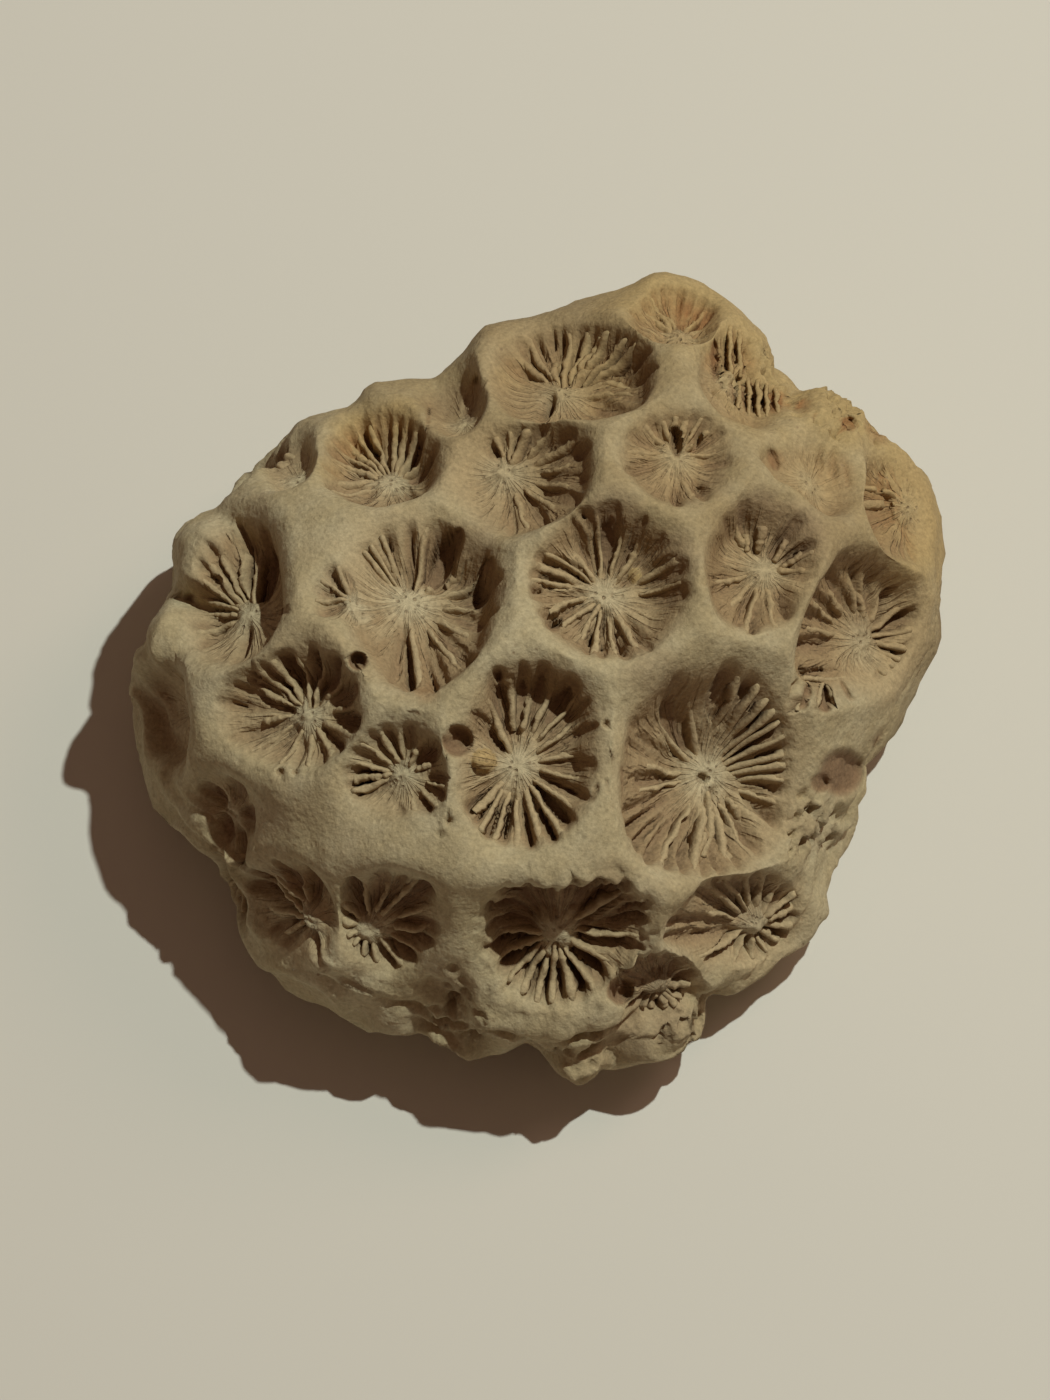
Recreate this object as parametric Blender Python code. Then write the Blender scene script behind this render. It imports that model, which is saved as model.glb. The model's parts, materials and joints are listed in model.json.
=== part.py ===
"""Fossil coral head: one worn colony of fused cups, cut flat where it grew from the rock.

Tables are in millimetres and the object is built in metres, with +Z up and the flat cut at z = 0.
The colony is a low dome. Its growing face looks up and a little towards -Y, so the outline and
the cups of that face are laid out on a plane square to the face axis, as (across, up).
"""
import math

import bmesh
import bpy
import numpy as np

MM = 0.001

# Dome: a rim, its widest level, with a high crown above it and a shallow undercut below it.
RIM_HEIGHT = 4.0
DOME_RADIUS = 25.0
CROWN_HEIGHT = 20.0
CROWN_ROUNDNESS = 2.3
UNDERCUT_HEIGHT = 6.0
UNDERCUT_ROUNDNESS = 2.0
FACE_TILT = math.radians(24)
DOME_SUBDIVISIONS = 3
DOME_CUTS = 2

# Outline of the colony as seen along the face axis, anticlockwise from the right.
OUTLINE = (
    (24.6, 2.6), (24.9, 6.3), (25.0, 10.0), (24.4, 12.5), (22.9, 14.7), (21.3, 16.4), (19.2, 17.4),
    (16.2, 18.0), (14.8, 19.6), (14.2, 21.7), (12.4, 23.4), (10.0, 24.8), (7.8, 25.4), (6.5, 24.9),
    (5.8, 24.2), (3.9, 23.7), (0.4, 22.9), (-3.3, 21.9), (-4.6, 19.9), (-6.0, 18.8), (-10.4, 18.8),
    (-11.3, 17.4), (-15.3, 15.4), (-17.7, 13.7), (-20.3, 10.8), (-22.0, 8.8), (-22.2, 6.3),
    (-24.0, 2.6), (-25.0, -0.7), (-24.7, -2.0), (-23.8, -5.7), (-23.0, -7.4), (-20.8, -9.2),
    (-19.3, -11.0), (-19.4, -12.8), (-18.4, -14.6), (-15.6, -17.6), (-12.9, -20.3), (-10.4, -20.9),
    (-7.9, -20.3), (-5.8, -21.3), (-3.3, -23.2), (-0.9, -22.0), (1.0, -22.3), (2.8, -24.1),
    (4.1, -23.3), (7.5, -23.5), (8.7, -23.1), (9.9, -20.6), (10.2, -18.9), (12.7, -18.3),
    (15.8, -17.1), (17.6, -16.0), (18.5, -14.0), (17.7, -12.8), (17.7, -10.3), (19.2, -8.6),
    (20.8, -6.3), (20.3, -5.2), (22.4, -2.9), (23.5, 0.5),
)
# Away from the outline itself the dome follows a smoothed outline, and near the face axis a round
# one.
OUTLINE_SMOOTHING = math.radians(14)
OUTLINE_TAPS = 9
OUTLINE_BAND = 0.35
AXIS_BLEND = 0.55
OUTLINE_STEP = 2

# Cups of the growing face: centre (across, up), then the distance from the centre to the crest
# in eight directions, anticlockwise from the right, one every 45 degrees.
FACE_CUPS = (
    ((4.6, 6.2), (5.2, 4.7, 4.9, 4.8, 5.0, 4.6, 4.7, 4.9)),
    ((10.5, -5.1), (5.5, 6.1, 6.6, 5.8, 5.1, 6.3, 6.4, 6.5)),
    ((-0.6, -4.4), (4.6, 5.7, 6.2, 4.7, 3.9, 5.2, 5.9, 5.2)),
    ((13.9, 7.0), (3.2, 4.4, 4.5, 4.0, 3.7, 4.2, 4.3, 3.6)),
    ((20.2, 3.9), (4.2, 3.8, 4.3, 3.7, 3.8, 6.0, 3.7, 3.8)),
    ((22.7, 10.7), (2.2, 2.5, 3.1, 2.6, 2.2, 2.4, 3.1, 2.5)),
    ((8.9, 13.9), (3.3, 3.5, 2.8, 3.3, 3.6, 3.2, 3.3, 3.1)),
    ((-0.7, 13.1), (4.0, 4.1, 3.3, 3.3, 4.3, 4.6, 3.7, 3.8)),
    ((2.3, 19.3), (5.1, 3.8, 3.2, 4.3, 5.0, 4.1, 3.0, 3.9)),
    ((8.9, 22.7), (2.3, 2.3, 2.2, 2.4, 2.6, 2.2, 2.0, 2.3)),
    ((13.0, 19.2), (2.8, 2.5, 2.7, 2.6, 2.7, 2.9, 3.3, 3.4)),
    ((-4.9, 17.2), (1.7, 1.7, 1.8, 1.8, 1.8, 2.1, 1.8, 1.7)),
    ((-8.9, 14.0), (3.1, 2.8, 3.2, 3.7, 4.0, 3.7, 3.2, 3.0)),
    ((-7.0, 5.4), (4.8, 5.0, 5.1, 5.0, 4.0, 4.6, 5.9, 4.8)),
    ((-18.2, 5.7), (2.8, 3.9, 4.4, 3.3, 3.0, 3.9, 4.0, 3.5)),
    ((-14.4, -1.4), (3.8, 4.1, 4.0, 3.3, 5.9, 4.2, 3.7, 3.9)),
    ((-8.3, -5.2), (3.1, 3.1, 2.8, 2.8, 3.7, 3.2, 2.6, 3.5)),
    ((-15.0, -13.7), (2.7, 3.0, 2.6, 3.0, 2.9, 2.4, 2.5, 3.0)),
    ((-9.2, -14.3), (3.3, 3.7, 3.1, 3.5, 3.0, 3.5, 3.3, 3.5)),
    ((1.6, -15.5), (5.2, 5.7, 3.5, 5.5, 4.7, 4.8, 4.2, 4.4)),
    ((13.0, -14.5), (4.9, 3.4, 2.6, 3.6, 5.2, 3.6, 2.7, 3.4)),
    ((7.5, -18.6), (2.7, 2.3, 2.0, 2.3, 2.7, 2.2, 2.0, 2.2)),
    ((-22.6, -1.8), (1.5, 2.0, 2.7, 1.9, 1.3, 1.8, 2.7, 2.1)),
    ((-18.9, -8.3), (1.8, 2.3, 2.5, 2.6, 1.8, 1.8, 2.7, 2.4)),
    ((-15.1, 13.6), (1.4, 1.5, 1.7, 1.5, 1.4, 1.5, 1.7, 1.5)),
)

# Cups of the flanks: direction from the middle of the rim (azimuth, height), half width, half
# height. The first are on the far side, and the rest run along the foot of the growing face.
FLANK_CUPS = (
    ((35, 14), 3.6, 3.4),
    ((62, 11), 3.9, 3.3),
    ((92, 12), 4.2, 3.4),
    ((121, 12), 3.8, 3.6),
    ((147, 15), 3.5, 3.6),
    ((172, 6), 2.6, 2.3),
    ((-144, 3), 2.9, 2.1),
    ((-119, 5), 3.3, 2.3),
    ((-96, 5), 3.5, 2.3),
    ((-47, 3), 3.1, 2.2),
    ((-15, 2), 2.7, 2.2),
)

# Lumps and hollows of the flanks: direction (azimuth, height), spread in degrees, rise.
LUMPS = (
    ((-84, -6), 7, 1.0),
    ((-108, -3), 6, 0.8),
    ((-128, -4), 7, 0.9),
    ((-160, -5), 8, 0.7),
    ((-68, 0), 6, 0.7),
    ((-30, -4), 7, 0.8),
    ((5, -3), 9, 0.7),
    ((48, -2), 8, 0.8),
    ((77, -4), 7, 0.7),
    ((106, -1), 8, 0.9),
    ((134, -4), 8, 0.7),
    ((160, -1), 7, 0.6),
)

# Bored pits and hollows: (across, up), radius, depth.
PITS = (
    ((15.5, 13.6), 1.3, 0.9),
    ((18.7, 13.2), 1.7, 1.0),
    ((19.3, 15.6), 1.0, 0.9),
    ((-12.3, 6.4), 1.7, 1.2),
    ((-4.7, -3.4), 1.2, 1.3),
    ((-10.8, 1.2), 0.7, 1.0),
    ((18.6, -5.5), 1.7, 1.6),
    ((4.2, -2.6), 0.9, 0.9),
    ((4.2, -7.1), 0.9, 0.9),
)

# Cup section, from outside the crest to the centre: share of the crest radius and share of the
# depth, at a slot and at a septum. Negative depths lie outside the dome.
CUP_DEPTH_SHARE = 0.75
CUP_DEPTH_MOST = 3.9
SLOT_SECTION = ((1.10, -0.24), (0.86, 0.58), (0.42, 0.98), (0.17, 0.80))
SEPTUM_SECTION = ((1.10, -0.24), (0.80, 0.34), (0.38, 0.66), (0.17, 0.80))
CENTRE_DEPTH_SHARE = 0.70
CAP_LIFT = 2.0
SEPTUM_PITCH = 2.9
FEWEST_SEPTA = 6
PIT_SECTION = ((1.25, -0.35), (0.92, 0.25), (0.62, 0.85))
PIT_SIDES = 8

STONE_COLOR = (0.46, 0.41, 0.31, 1.0)
STONE_ROUGHNESS = 0.85

FACE_AXIS = np.array([0.0, -math.sin(FACE_TILT), math.cos(FACE_TILT)])
FACE_ACROSS = np.array([1.0, 0.0, 0.0])
FACE_UP = np.array([0.0, math.cos(FACE_TILT), math.sin(FACE_TILT)])
NORMAL_REACH = 1.2
NEARLY_PARALLEL = 0.8
STEEPEST_FALL = 0.5
CAST_START = 60.0
CAST_STEPS = 120
CAST_REFINEMENTS = 24


def clear_scene():
    for item in list(bpy.data.objects):
        bpy.data.objects.remove(item, do_unlink=True)


def plain_dome_radius(directions):
    """Distance from the middle of the rim to the dome before its outline is applied."""
    level = np.hypot(directions[..., 0], directions[..., 1]) / DOME_RADIUS
    rise = directions[..., 2]
    crown = (level ** CROWN_ROUNDNESS + (np.abs(rise) / CROWN_HEIGHT) ** CROWN_ROUNDNESS)
    undercut = (level ** UNDERCUT_ROUNDNESS + (np.abs(rise) / UNDERCUT_HEIGHT) ** UNDERCUT_ROUNDNESS)
    return np.where(rise > 0, crown ** (-1 / CROWN_ROUNDNESS), undercut ** (-1 / UNDERCUT_ROUNDNESS))


def outline_shares():
    """Share of the plain dome's outline that the real outline takes, all around the face axis."""
    angles = np.radians(np.arange(0, 360, OUTLINE_STEP))
    heights = np.radians(np.arange(-60, 61, OUTLINE_STEP))
    around, above = np.meshgrid(angles, heights, indexing="ij")
    directions = (
        (np.cos(above) * np.cos(around))[..., None] * FACE_ACROSS
        + (np.cos(above) * np.sin(around))[..., None] * FACE_UP
        + np.sin(above)[..., None] * FACE_AXIS
    )
    plain = (plain_dome_radius(directions) * np.cos(above)).max(axis=1)
    points = np.array(OUTLINE)
    point_angles = np.arctan2(points[:, 1], points[:, 0])
    real = np.interp(angles, point_angles, np.hypot(points[:, 0], points[:, 1]), period=2 * math.pi)
    return angles, real / plain


OUTLINE_ANGLES, OUTLINE_SHARES = outline_shares()


def heading(azimuth, height):
    """Unit vector towards an azimuth and a height, both in degrees."""
    turn = math.radians(azimuth)
    lift = math.radians(height)
    return np.array([
        math.cos(turn) * math.cos(lift), math.sin(turn) * math.cos(lift), math.sin(lift),
    ])


def dome_radius(directions):
    """Distance from the middle of the rim to the dome's surface, in millimetres."""
    across = directions @ FACE_ACROSS
    up = directions @ FACE_UP
    out = directions @ FACE_AXIS
    angles = np.arctan2(up, across)
    sharp = np.interp(angles, OUTLINE_ANGLES, OUTLINE_SHARES, period=2 * math.pi)
    taps = np.linspace(-OUTLINE_SMOOTHING, OUTLINE_SMOOTHING, OUTLINE_TAPS)
    soft = np.mean([
        np.interp(angles + tap, OUTLINE_ANGLES, OUTLINE_SHARES, period=2 * math.pi) for tap in taps
    ], axis=0)
    edge = np.exp(-((out / OUTLINE_BAND) ** 2))
    inward = np.clip(np.hypot(across, up) / AXIS_BLEND, 0, 1) ** 2
    share = soft + (sharp - soft) * edge
    lumps = sum(
        rise * np.exp((directions @ heading(*place) - 1) / (1 - math.cos(math.radians(spread))))
        for place, spread, rise in LUMPS
    )
    return plain_dome_radius(directions) * (1 + (share - 1) * inward) + lumps


def height_outside(points):
    """Positive outside the dome, negative inside it."""
    distance = np.linalg.norm(points, axis=-1)
    return distance - dome_radius(points / distance[..., None])


def land(starts, direction):
    """Move points along a direction until they first meet the dome."""
    steps = np.linspace(0, 2 * CAST_START, CAST_STEPS)
    trail = starts[:, None, :] + steps[None, :, None] * direction
    inside = height_outside(trail) < 0
    first = np.argmax(inside, axis=1)
    high = steps[first]
    low = steps[np.maximum(first - 1, 0)]
    for _ in range(CAST_REFINEMENTS):
        middle = (low + high) / 2
        is_inside = height_outside(starts + middle[:, None] * direction) < 0
        high = np.where(is_inside, middle, high)
        low = np.where(is_inside, low, middle)
    return starts + high[:, None] * direction, inside.any(axis=1)


def land_on_face(across, up):
    """Points of the growing face at the given places of its layout."""
    starts = (
        np.multiply.outer(np.atleast_1d(across), FACE_ACROSS)
        + np.multiply.outer(np.atleast_1d(up), FACE_UP)
        + CAST_START * FACE_AXIS
    )
    return land(starts, -FACE_AXIS)


def normal_at(point):
    """Outward direction of the dome at a point."""
    offsets = np.eye(3) * NORMAL_REACH
    slope = height_outside(point + offsets) - height_outside(point - offsets)
    return slope / np.linalg.norm(slope)


def frame_at(point):
    """Two directions along the dome and the outward direction, at a point."""
    outward = normal_at(point)
    reference = FACE_ACROSS if abs(outward[0]) < NEARLY_PARALLEL else FACE_UP
    sideways = reference - outward * (reference @ outward)
    sideways /= np.linalg.norm(sideways)
    return sideways, np.cross(outward, sideways), outward


def cup_from_layout(centre, radii):
    """Centre, frame and crest outline of a cup of the growing face."""
    angles = np.radians(np.arange(0, 360, 45))
    middle = land_on_face(centre[0], centre[1])[0][0]
    crest, met = land_on_face(
        centre[0] + np.array(radii) * np.cos(angles), centre[1] + np.array(radii) * np.sin(angles)
    )
    frame = frame_at(middle)
    flat = (crest - middle) @ np.array(frame).T
    crest_angles = np.arctan2(flat[:, 1], flat[:, 0])[met]
    crest_radii = np.hypot(flat[:, 0], flat[:, 1])[met]
    order = np.argsort(crest_angles)
    return middle, frame, crest_angles[order], crest_radii[order]


def cup_from_direction(azimuth, height, half_width, half_height):
    """Centre, frame and crest outline of a cup of the flanks."""
    direction = heading(azimuth, height)
    middle = direction * dome_radius(direction)
    outward = normal_at(middle)
    sideways = np.cross(outward, (0, 0, 1))
    sideways /= np.linalg.norm(sideways)
    frame = (sideways, np.cross(outward, sideways), outward)
    angles = np.radians(np.arange(-157.5, 180, 45))
    radii = 1 / np.hypot(np.cos(angles) / half_width, np.sin(angles) / half_height)
    return middle, frame, angles, radii


def sink_points(cup, angles, shares, depths):
    """Points around a cup, placed on the dome and then sunk along the cup's own axis."""
    middle, frame, crest_angles, crest_radii = cup
    sideways, onward, outward = frame
    radii = np.interp(angles, crest_angles, crest_radii, period=2 * math.pi) * shares
    starts = (
        middle
        + np.multiply.outer(radii * np.cos(angles), sideways)
        + np.multiply.outer(radii * np.sin(angles), onward)
        + CAST_START / 2 * outward
    )
    ground, met = land(starts, -outward)
    level = starts - CAST_START / 2 * outward
    ground = np.where(met[:, None], ground, level)
    lowest = middle @ outward - STEEPEST_FALL * radii
    fallen = np.maximum(lowest - ground @ outward, 0)
    return ground + np.multiply.outer(fallen - depths, outward)


def make_cutter(name, cup, sides, sections, centre_depth, depth):
    """A closed funnel, shaped from a UV sphere whose rings follow the sections in turn."""
    rings = len(sections[0])
    mesh = bpy.data.meshes.new(name)
    shape = bmesh.new()
    bmesh.ops.create_uvsphere(shape, u_segments=sides, v_segments=rings + 1, radius=1)
    angles = []
    placings = []
    for vertex in shape.verts:
        height_angle = math.acos(max(-1.0, min(1.0, vertex.co.z)))
        ring = round(height_angle / math.pi * (rings + 1))
        angle = math.atan2(vertex.co.y, vertex.co.x)
        step = round(angle / (2 * math.pi) * sides) % len(sections)
        around = ((0.0, -CAP_LIFT / depth), *sections[step], (0.0, centre_depth))
        angles.append(angle)
        placings.append(around[ring])
    shares, sinks = np.array(placings).T
    places = sink_points(cup, np.array(angles), shares, sinks * depth)
    for vertex, place in zip(shape.verts, places):
        vertex.co = place * MM
    shape.to_mesh(mesh)
    shape.free()
    cutter = bpy.data.objects.new(name, mesh)
    cutter.location.z = RIM_HEIGHT * MM
    cutter.hide_render = True
    cutter.display_type = "WIRE"
    bpy.context.collection.objects.link(cutter)
    return cutter


def make_cup_cutters():
    cups = [cup_from_layout(centre, radii) for centre, radii in FACE_CUPS]
    cups += [cup_from_direction(*place, wide, high) for place, wide, high in FLANK_CUPS]
    cutters = []
    for number, cup in enumerate(cups):
        mean_radius = float(np.mean(cup[3]))
        depth = min(CUP_DEPTH_SHARE * mean_radius, CUP_DEPTH_MOST)
        septa = max(FEWEST_SEPTA, round(2 * math.pi * mean_radius / SEPTUM_PITCH))
        sections = (SLOT_SECTION, SEPTUM_SECTION)
        name = f"cup_cutter_{number}"
        cutters.append(make_cutter(name, cup, 2 * septa, sections, CENTRE_DEPTH_SHARE, depth))
    return cutters


def make_pit_cutters():
    cutters = []
    for number, (centre, radius, depth) in enumerate(PITS):
        cup = cup_from_layout(centre, (radius,) * 8)
        cutters.append(make_cutter(f"pit_cutter_{number}", cup, PIT_SIDES, (PIT_SECTION,), 1.0, depth))
    return cutters


def make_stone_material():
    material = bpy.data.materials.new("coral_limestone")
    material.use_nodes = True
    shader = material.node_tree.nodes["Principled BSDF"]
    shader.inputs["Base Color"].default_value = STONE_COLOR
    shader.inputs["Roughness"].default_value = STONE_ROUGHNESS
    shader.inputs["Metallic"].default_value = 0.0
    return material


def make_coral_head():
    """The dome, cut flat below, with every cup and pit cut into it."""
    mesh = bpy.data.meshes.new("coral_head")
    shape = bmesh.new()
    bmesh.ops.create_icosphere(shape, subdivisions=DOME_SUBDIVISIONS, radius=1)
    bmesh.ops.subdivide_edges(shape, edges=shape.edges[:], cuts=DOME_CUTS, use_grid_fill=True)
    directions = np.array([vertex.co.normalized() for vertex in shape.verts])
    radii = dome_radius(directions)
    for vertex, direction, radius in zip(shape.verts, directions, radii):
        vertex.co = direction * radius * MM
    geometry = shape.verts[:] + shape.edges[:] + shape.faces[:]
    cut = bmesh.ops.bisect_plane(
        shape, geom=geometry, dist=1e-7, plane_co=(0, 0, -RIM_HEIGHT * MM), plane_no=(0, 0, -1),
        clear_outer=True,
    )
    rim_edges = [item for item in cut["geom_cut"] if isinstance(item, bmesh.types.BMEdge)]
    bmesh.ops.contextual_create(shape, geom=rim_edges)
    bmesh.ops.recalc_face_normals(shape, faces=shape.faces)
    shape.to_mesh(mesh)
    shape.free()
    coral = bpy.data.objects.new("coral_head", mesh)
    coral.location.z = RIM_HEIGHT * MM
    coral.data.materials.append(make_stone_material())
    bpy.context.collection.objects.link(coral)
    for cutter in make_cup_cutters() + make_pit_cutters():
        cut = coral.modifiers.new(cutter.name, "BOOLEAN")
        cut.operation = "DIFFERENCE"
        cut.solver = "EXACT"
        cut.object = cutter
    return coral


clear_scene()
make_coral_head()
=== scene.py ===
"""Worn fossil coral head: a low dome of fused cups, on a plain pale floor under a studio lamp.

The head is one closed mesh. A fine ball is pressed to the colony's dome, and each cup then sinks
into it along its own axis: a rounded crest, a steep wall, slots in its floor and a spongy centre.
The septa between the slots are a second mesh of thin plates. Lengths in the tables are in
millimetres.
"""
import json
import math

import bmesh
import bpy
import numpy as np
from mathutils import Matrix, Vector, noise

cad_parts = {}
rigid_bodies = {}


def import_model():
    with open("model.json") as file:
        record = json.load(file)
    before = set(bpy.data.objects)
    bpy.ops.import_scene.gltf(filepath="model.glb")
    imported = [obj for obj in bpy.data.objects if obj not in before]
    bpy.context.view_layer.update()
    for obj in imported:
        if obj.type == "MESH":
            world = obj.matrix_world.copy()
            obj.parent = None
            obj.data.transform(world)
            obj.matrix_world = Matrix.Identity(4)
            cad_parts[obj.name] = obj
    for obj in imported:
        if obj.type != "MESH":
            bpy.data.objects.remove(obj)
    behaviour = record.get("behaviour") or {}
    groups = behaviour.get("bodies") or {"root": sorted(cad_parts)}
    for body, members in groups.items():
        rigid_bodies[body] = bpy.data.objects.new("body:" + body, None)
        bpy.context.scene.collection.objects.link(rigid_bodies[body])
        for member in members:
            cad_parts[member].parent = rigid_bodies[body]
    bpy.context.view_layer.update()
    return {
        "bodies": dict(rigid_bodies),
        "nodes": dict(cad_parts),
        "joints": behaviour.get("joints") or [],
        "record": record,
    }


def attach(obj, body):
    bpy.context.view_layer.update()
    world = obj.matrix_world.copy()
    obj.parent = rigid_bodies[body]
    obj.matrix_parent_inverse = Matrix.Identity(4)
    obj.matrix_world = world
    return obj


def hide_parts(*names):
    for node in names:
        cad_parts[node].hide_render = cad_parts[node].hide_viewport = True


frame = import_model()

MM = 0.001

# Dome: a rim, its widest level, with a high crown above it and a shallow undercut below it.
# The growing face leans forward by the tilt.
RIM_HEIGHT = 4.0
DOME_RADIUS = 25.0
CROWN_HEIGHT = 20.0
CROWN_ROUNDNESS = 2.3
UNDERCUT_HEIGHT = 6.0
UNDERCUT_ROUNDNESS = 2.0
FACE_TILT = math.radians(24)

# Outline of the colony as seen along the face axis, anticlockwise from the right.
OUTLINE = (
    (-25.0, -0.7), (-24.7, -2.0), (-23.8, -5.7), (-23.0, -7.4), (-20.8, -9.2), (-19.3, -11.0),
    (-19.4, -12.8), (-18.4, -14.6), (-15.6, -17.6), (-12.9, -20.3), (-10.4, -20.9), (-9.5, -20.9),
    (-7.9, -20.3), (-6.3, -21.2), (-5.3, -21.5), (-4.3, -22.9), (-3.3, -23.2), (-1.7, -22.4),
    (-0.6, -21.8), (0.7, -22.1), (1.4, -23.2), (2.7, -24.0), (3.9, -23.5), (6.1, -23.5),
    (8.1, -23.2), (8.9, -22.4), (9.1, -21.5), (9.8, -20.8), (10.2, -19.7), (10.3, -18.8),
    (12.7, -18.4), (15.8, -17.1), (17.6, -16.0), (18.5, -14.0), (17.7, -12.8), (17.7, -10.3),
    (19.2, -8.6), (20.8, -6.3), (20.3, -5.2), (22.4, -2.9), (23.5, 0.5), (24.6, 2.6), (24.9, 6.3),
    (25.0, 10.0), (24.4, 12.5), (22.9, 14.7), (21.3, 16.4), (19.2, 17.4), (16.2, 18.0),
    (14.8, 19.6), (14.2, 21.7), (12.4, 23.4), (10.0, 24.8), (7.8, 25.4), (6.5, 24.9), (5.8, 24.2),
    (3.9, 23.7), (0.4, 22.9), (-3.3, 21.9), (-4.6, 19.9), (-6.0, 18.8), (-10.4, 18.8),
    (-11.3, 17.4), (-15.3, 15.4), (-17.7, 13.7), (-20.3, 10.8), (-22.0, 8.8), (-22.2, 6.3),
    (-24.0, 2.6),
)
OUTLINE_SMOOTHING = math.radians(14)
OUTLINE_TAPS = 9
OUTLINE_BAND = 0.35
AXIS_BLEND = 0.55
OUTLINE_STEP = 2
OUTLINE_HEIGHT = 60

# Lumps of the flanks: direction (azimuth, height), spread in degrees, rise.
LUMPS = (
    ((-84, -6), 7, 1.0),
    ((-108, -3), 6, 0.8),
    ((-128, -4), 7, 0.9),
    ((-160, -5), 8, 0.7),
    ((-68, 0), 6, 0.7),
    ((-30, -4), 7, 0.8),
    ((5, -3), 9, 0.7),
    ((48, -2), 8, 0.8),
    ((77, -4), 7, 0.7),
    ((106, -1), 8, 0.9),
    ((134, -4), 8, 0.7),
    ((160, -1), 7, 0.6),
)

# Slots between the septa of each cup of the growing face, as seen along the face axis from its
# spongy centre: direction in degrees, inner end, outer end, greatest width, share of full depth.
MIDDLE_SLOTS = (
    (88, 1.5, 4.8, 1.35, 1.0), (63, 2.0, 3.9, 0.55, 1.0), (42, 1.2, 2.2, 0.3, 0.7),
    (47, 2.4, 3.7, 0.6, 0.5), (32, 2.4, 3.5, 0.35, 0.5), (16, 2.9, 4.9, 0.9, 0.5),
    (-4, 3.0, 4.9, 0.9, 0.5), (-9, 5.0, 5.6, 0.45, 1.0), (-51, 2.3, 3.5, 0.34, 0.7),
    (-73, 2.1, 3.9, 0.55, 0.85), (-97, 0.9, 2.2, 0.42, 0.7), (-93, 2.9, 3.2, 0.25, 0.8),
    (-108, 2.3, 2.9, 0.42, 0.9), (-135, 0.7, 1.4, 0.28, 0.6), (224, 1.3, 2.5, 0.5, 0.4),
    (209, 2.8, 3.9, 0.3, 1.0), (200, 1.8, 4.0, 0.55, 0.6), (176, 3.7, 4.4, 0.3, 0.8),
    (181, 1.2, 3.6, 0.18, 0.5), (162, 2.5, 4.3, 0.62, 0.5), (147, 3.2, 4.5, 0.35, 0.5),
    (135, 1.3, 2.9, 0.45, 0.6), (112, 1.8, 3.9, 0.42, 0.8), (106, 4.4, 5.1, 0.35, 0.8),
)
LARGE_SLOTS = (
    (123, 1.7, 5.4, 1.15, 1.0), (101, 3.7, 5.8, 0.75, 0.9), (88, 3.7, 5.6, 0.6, 1.0),
    (78, 3.0, 6.0, 0.5, 0.6), (65, 2.5, 4.8, 0.7, 0.9), (42, 1.4, 4.5, 1.0, 0.85),
    (52, 4.0, 5.6, 1.0, 0.45), (19, 2.1, 5.1, 0.65, 0.8), (9, 1.7, 3.3, 0.28, 0.6),
    (-2, 2.6, 5.2, 0.42, 0.5), (-15, 2.6, 5.0, 0.5, 0.6), (-33, 3.1, 5.2, 0.55, 0.6),
    (-53, 2.8, 5.4, 0.48, 0.7), (-67, 2.6, 5.2, 0.4, 0.6), (-80, 2.9, 5.8, 0.5, 0.6),
    (-90, 4.5, 5.9, 0.22, 0.5), (258, 3.4, 5.6, 0.4, 0.85), (226, 2.8, 6.0, 0.38, 0.75),
    (237, 2.6, 6.0, 0.36, 0.75), (248, 2.9, 5.9, 0.36, 0.8), (215, 1.9, 5.9, 0.34, 0.95),
    (205, 2.0, 4.8, 0.4, 0.5), (182, 1.3, 3.7, 0.75, 0.7), (156, 1.5, 4.3, 0.18, 0.4),
    (146, 1.6, 3.8, 0.16, 0.35), (293, 1.2, 2.3, 0.45, 0.4),
)
LEFT_OF_LARGE_SLOTS = (
    (87, 3.5, 5.2, 0.5, 1.0), (87, 2.4, 3.3, 0.24, 0.8), (104, 1.7, 5.0, 1.05, 1.0),
    (102, 5.1, 6.1, 0.7, 0.7), (75, 2.8, 5.9, 0.62, 0.85), (56, 2.9, 5.7, 1.15, 1.0),
    (43, 2.3, 4.6, 0.34, 0.7), (27, 1.7, 4.3, 0.4, 0.65), (-1, 1.7, 3.8, 1.0, 0.45),
    (-25, 1.7, 3.9, 0.45, 1.0), (-48, 1.5, 4.7, 0.9, 0.85), (-63, 2.8, 5.2, 0.4, 0.95),
    (-80, 2.7, 5.1, 0.5, 0.65), (259, 2.1, 4.6, 0.4, 0.85), (247, 2.8, 5.0, 0.5, 0.75),
    (234, 2.6, 4.4, 0.3, 0.8), (223, 2.0, 4.4, 0.75, 0.6), (129, 1.0, 2.9, 0.75, 0.9),
)
NARROW_SLOTS = (
    (56, 0.8, 2.9, 0.45, 1.0), (27, 1.2, 3.0, 0.38, 1.0), (99, 1.1, 2.2, 0.26, 0.9),
    (108, 1.8, 4.0, 0.5, 0.5), (-64, 1.7, 3.4, 0.6, 0.75), (257, 2.4, 4.1, 0.5, 0.65),
    (245, 1.2, 2.7, 0.34, 0.75), (4, 1.0, 2.4, 0.22, 0.4), (-14, 1.0, 2.3, 0.22, 0.35),
    (184, 1.0, 2.1, 0.22, 0.3), (205, 1.4, 2.7, 0.3, 0.3), (128, 2.3, 3.9, 0.32, 0.3),
)
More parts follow.
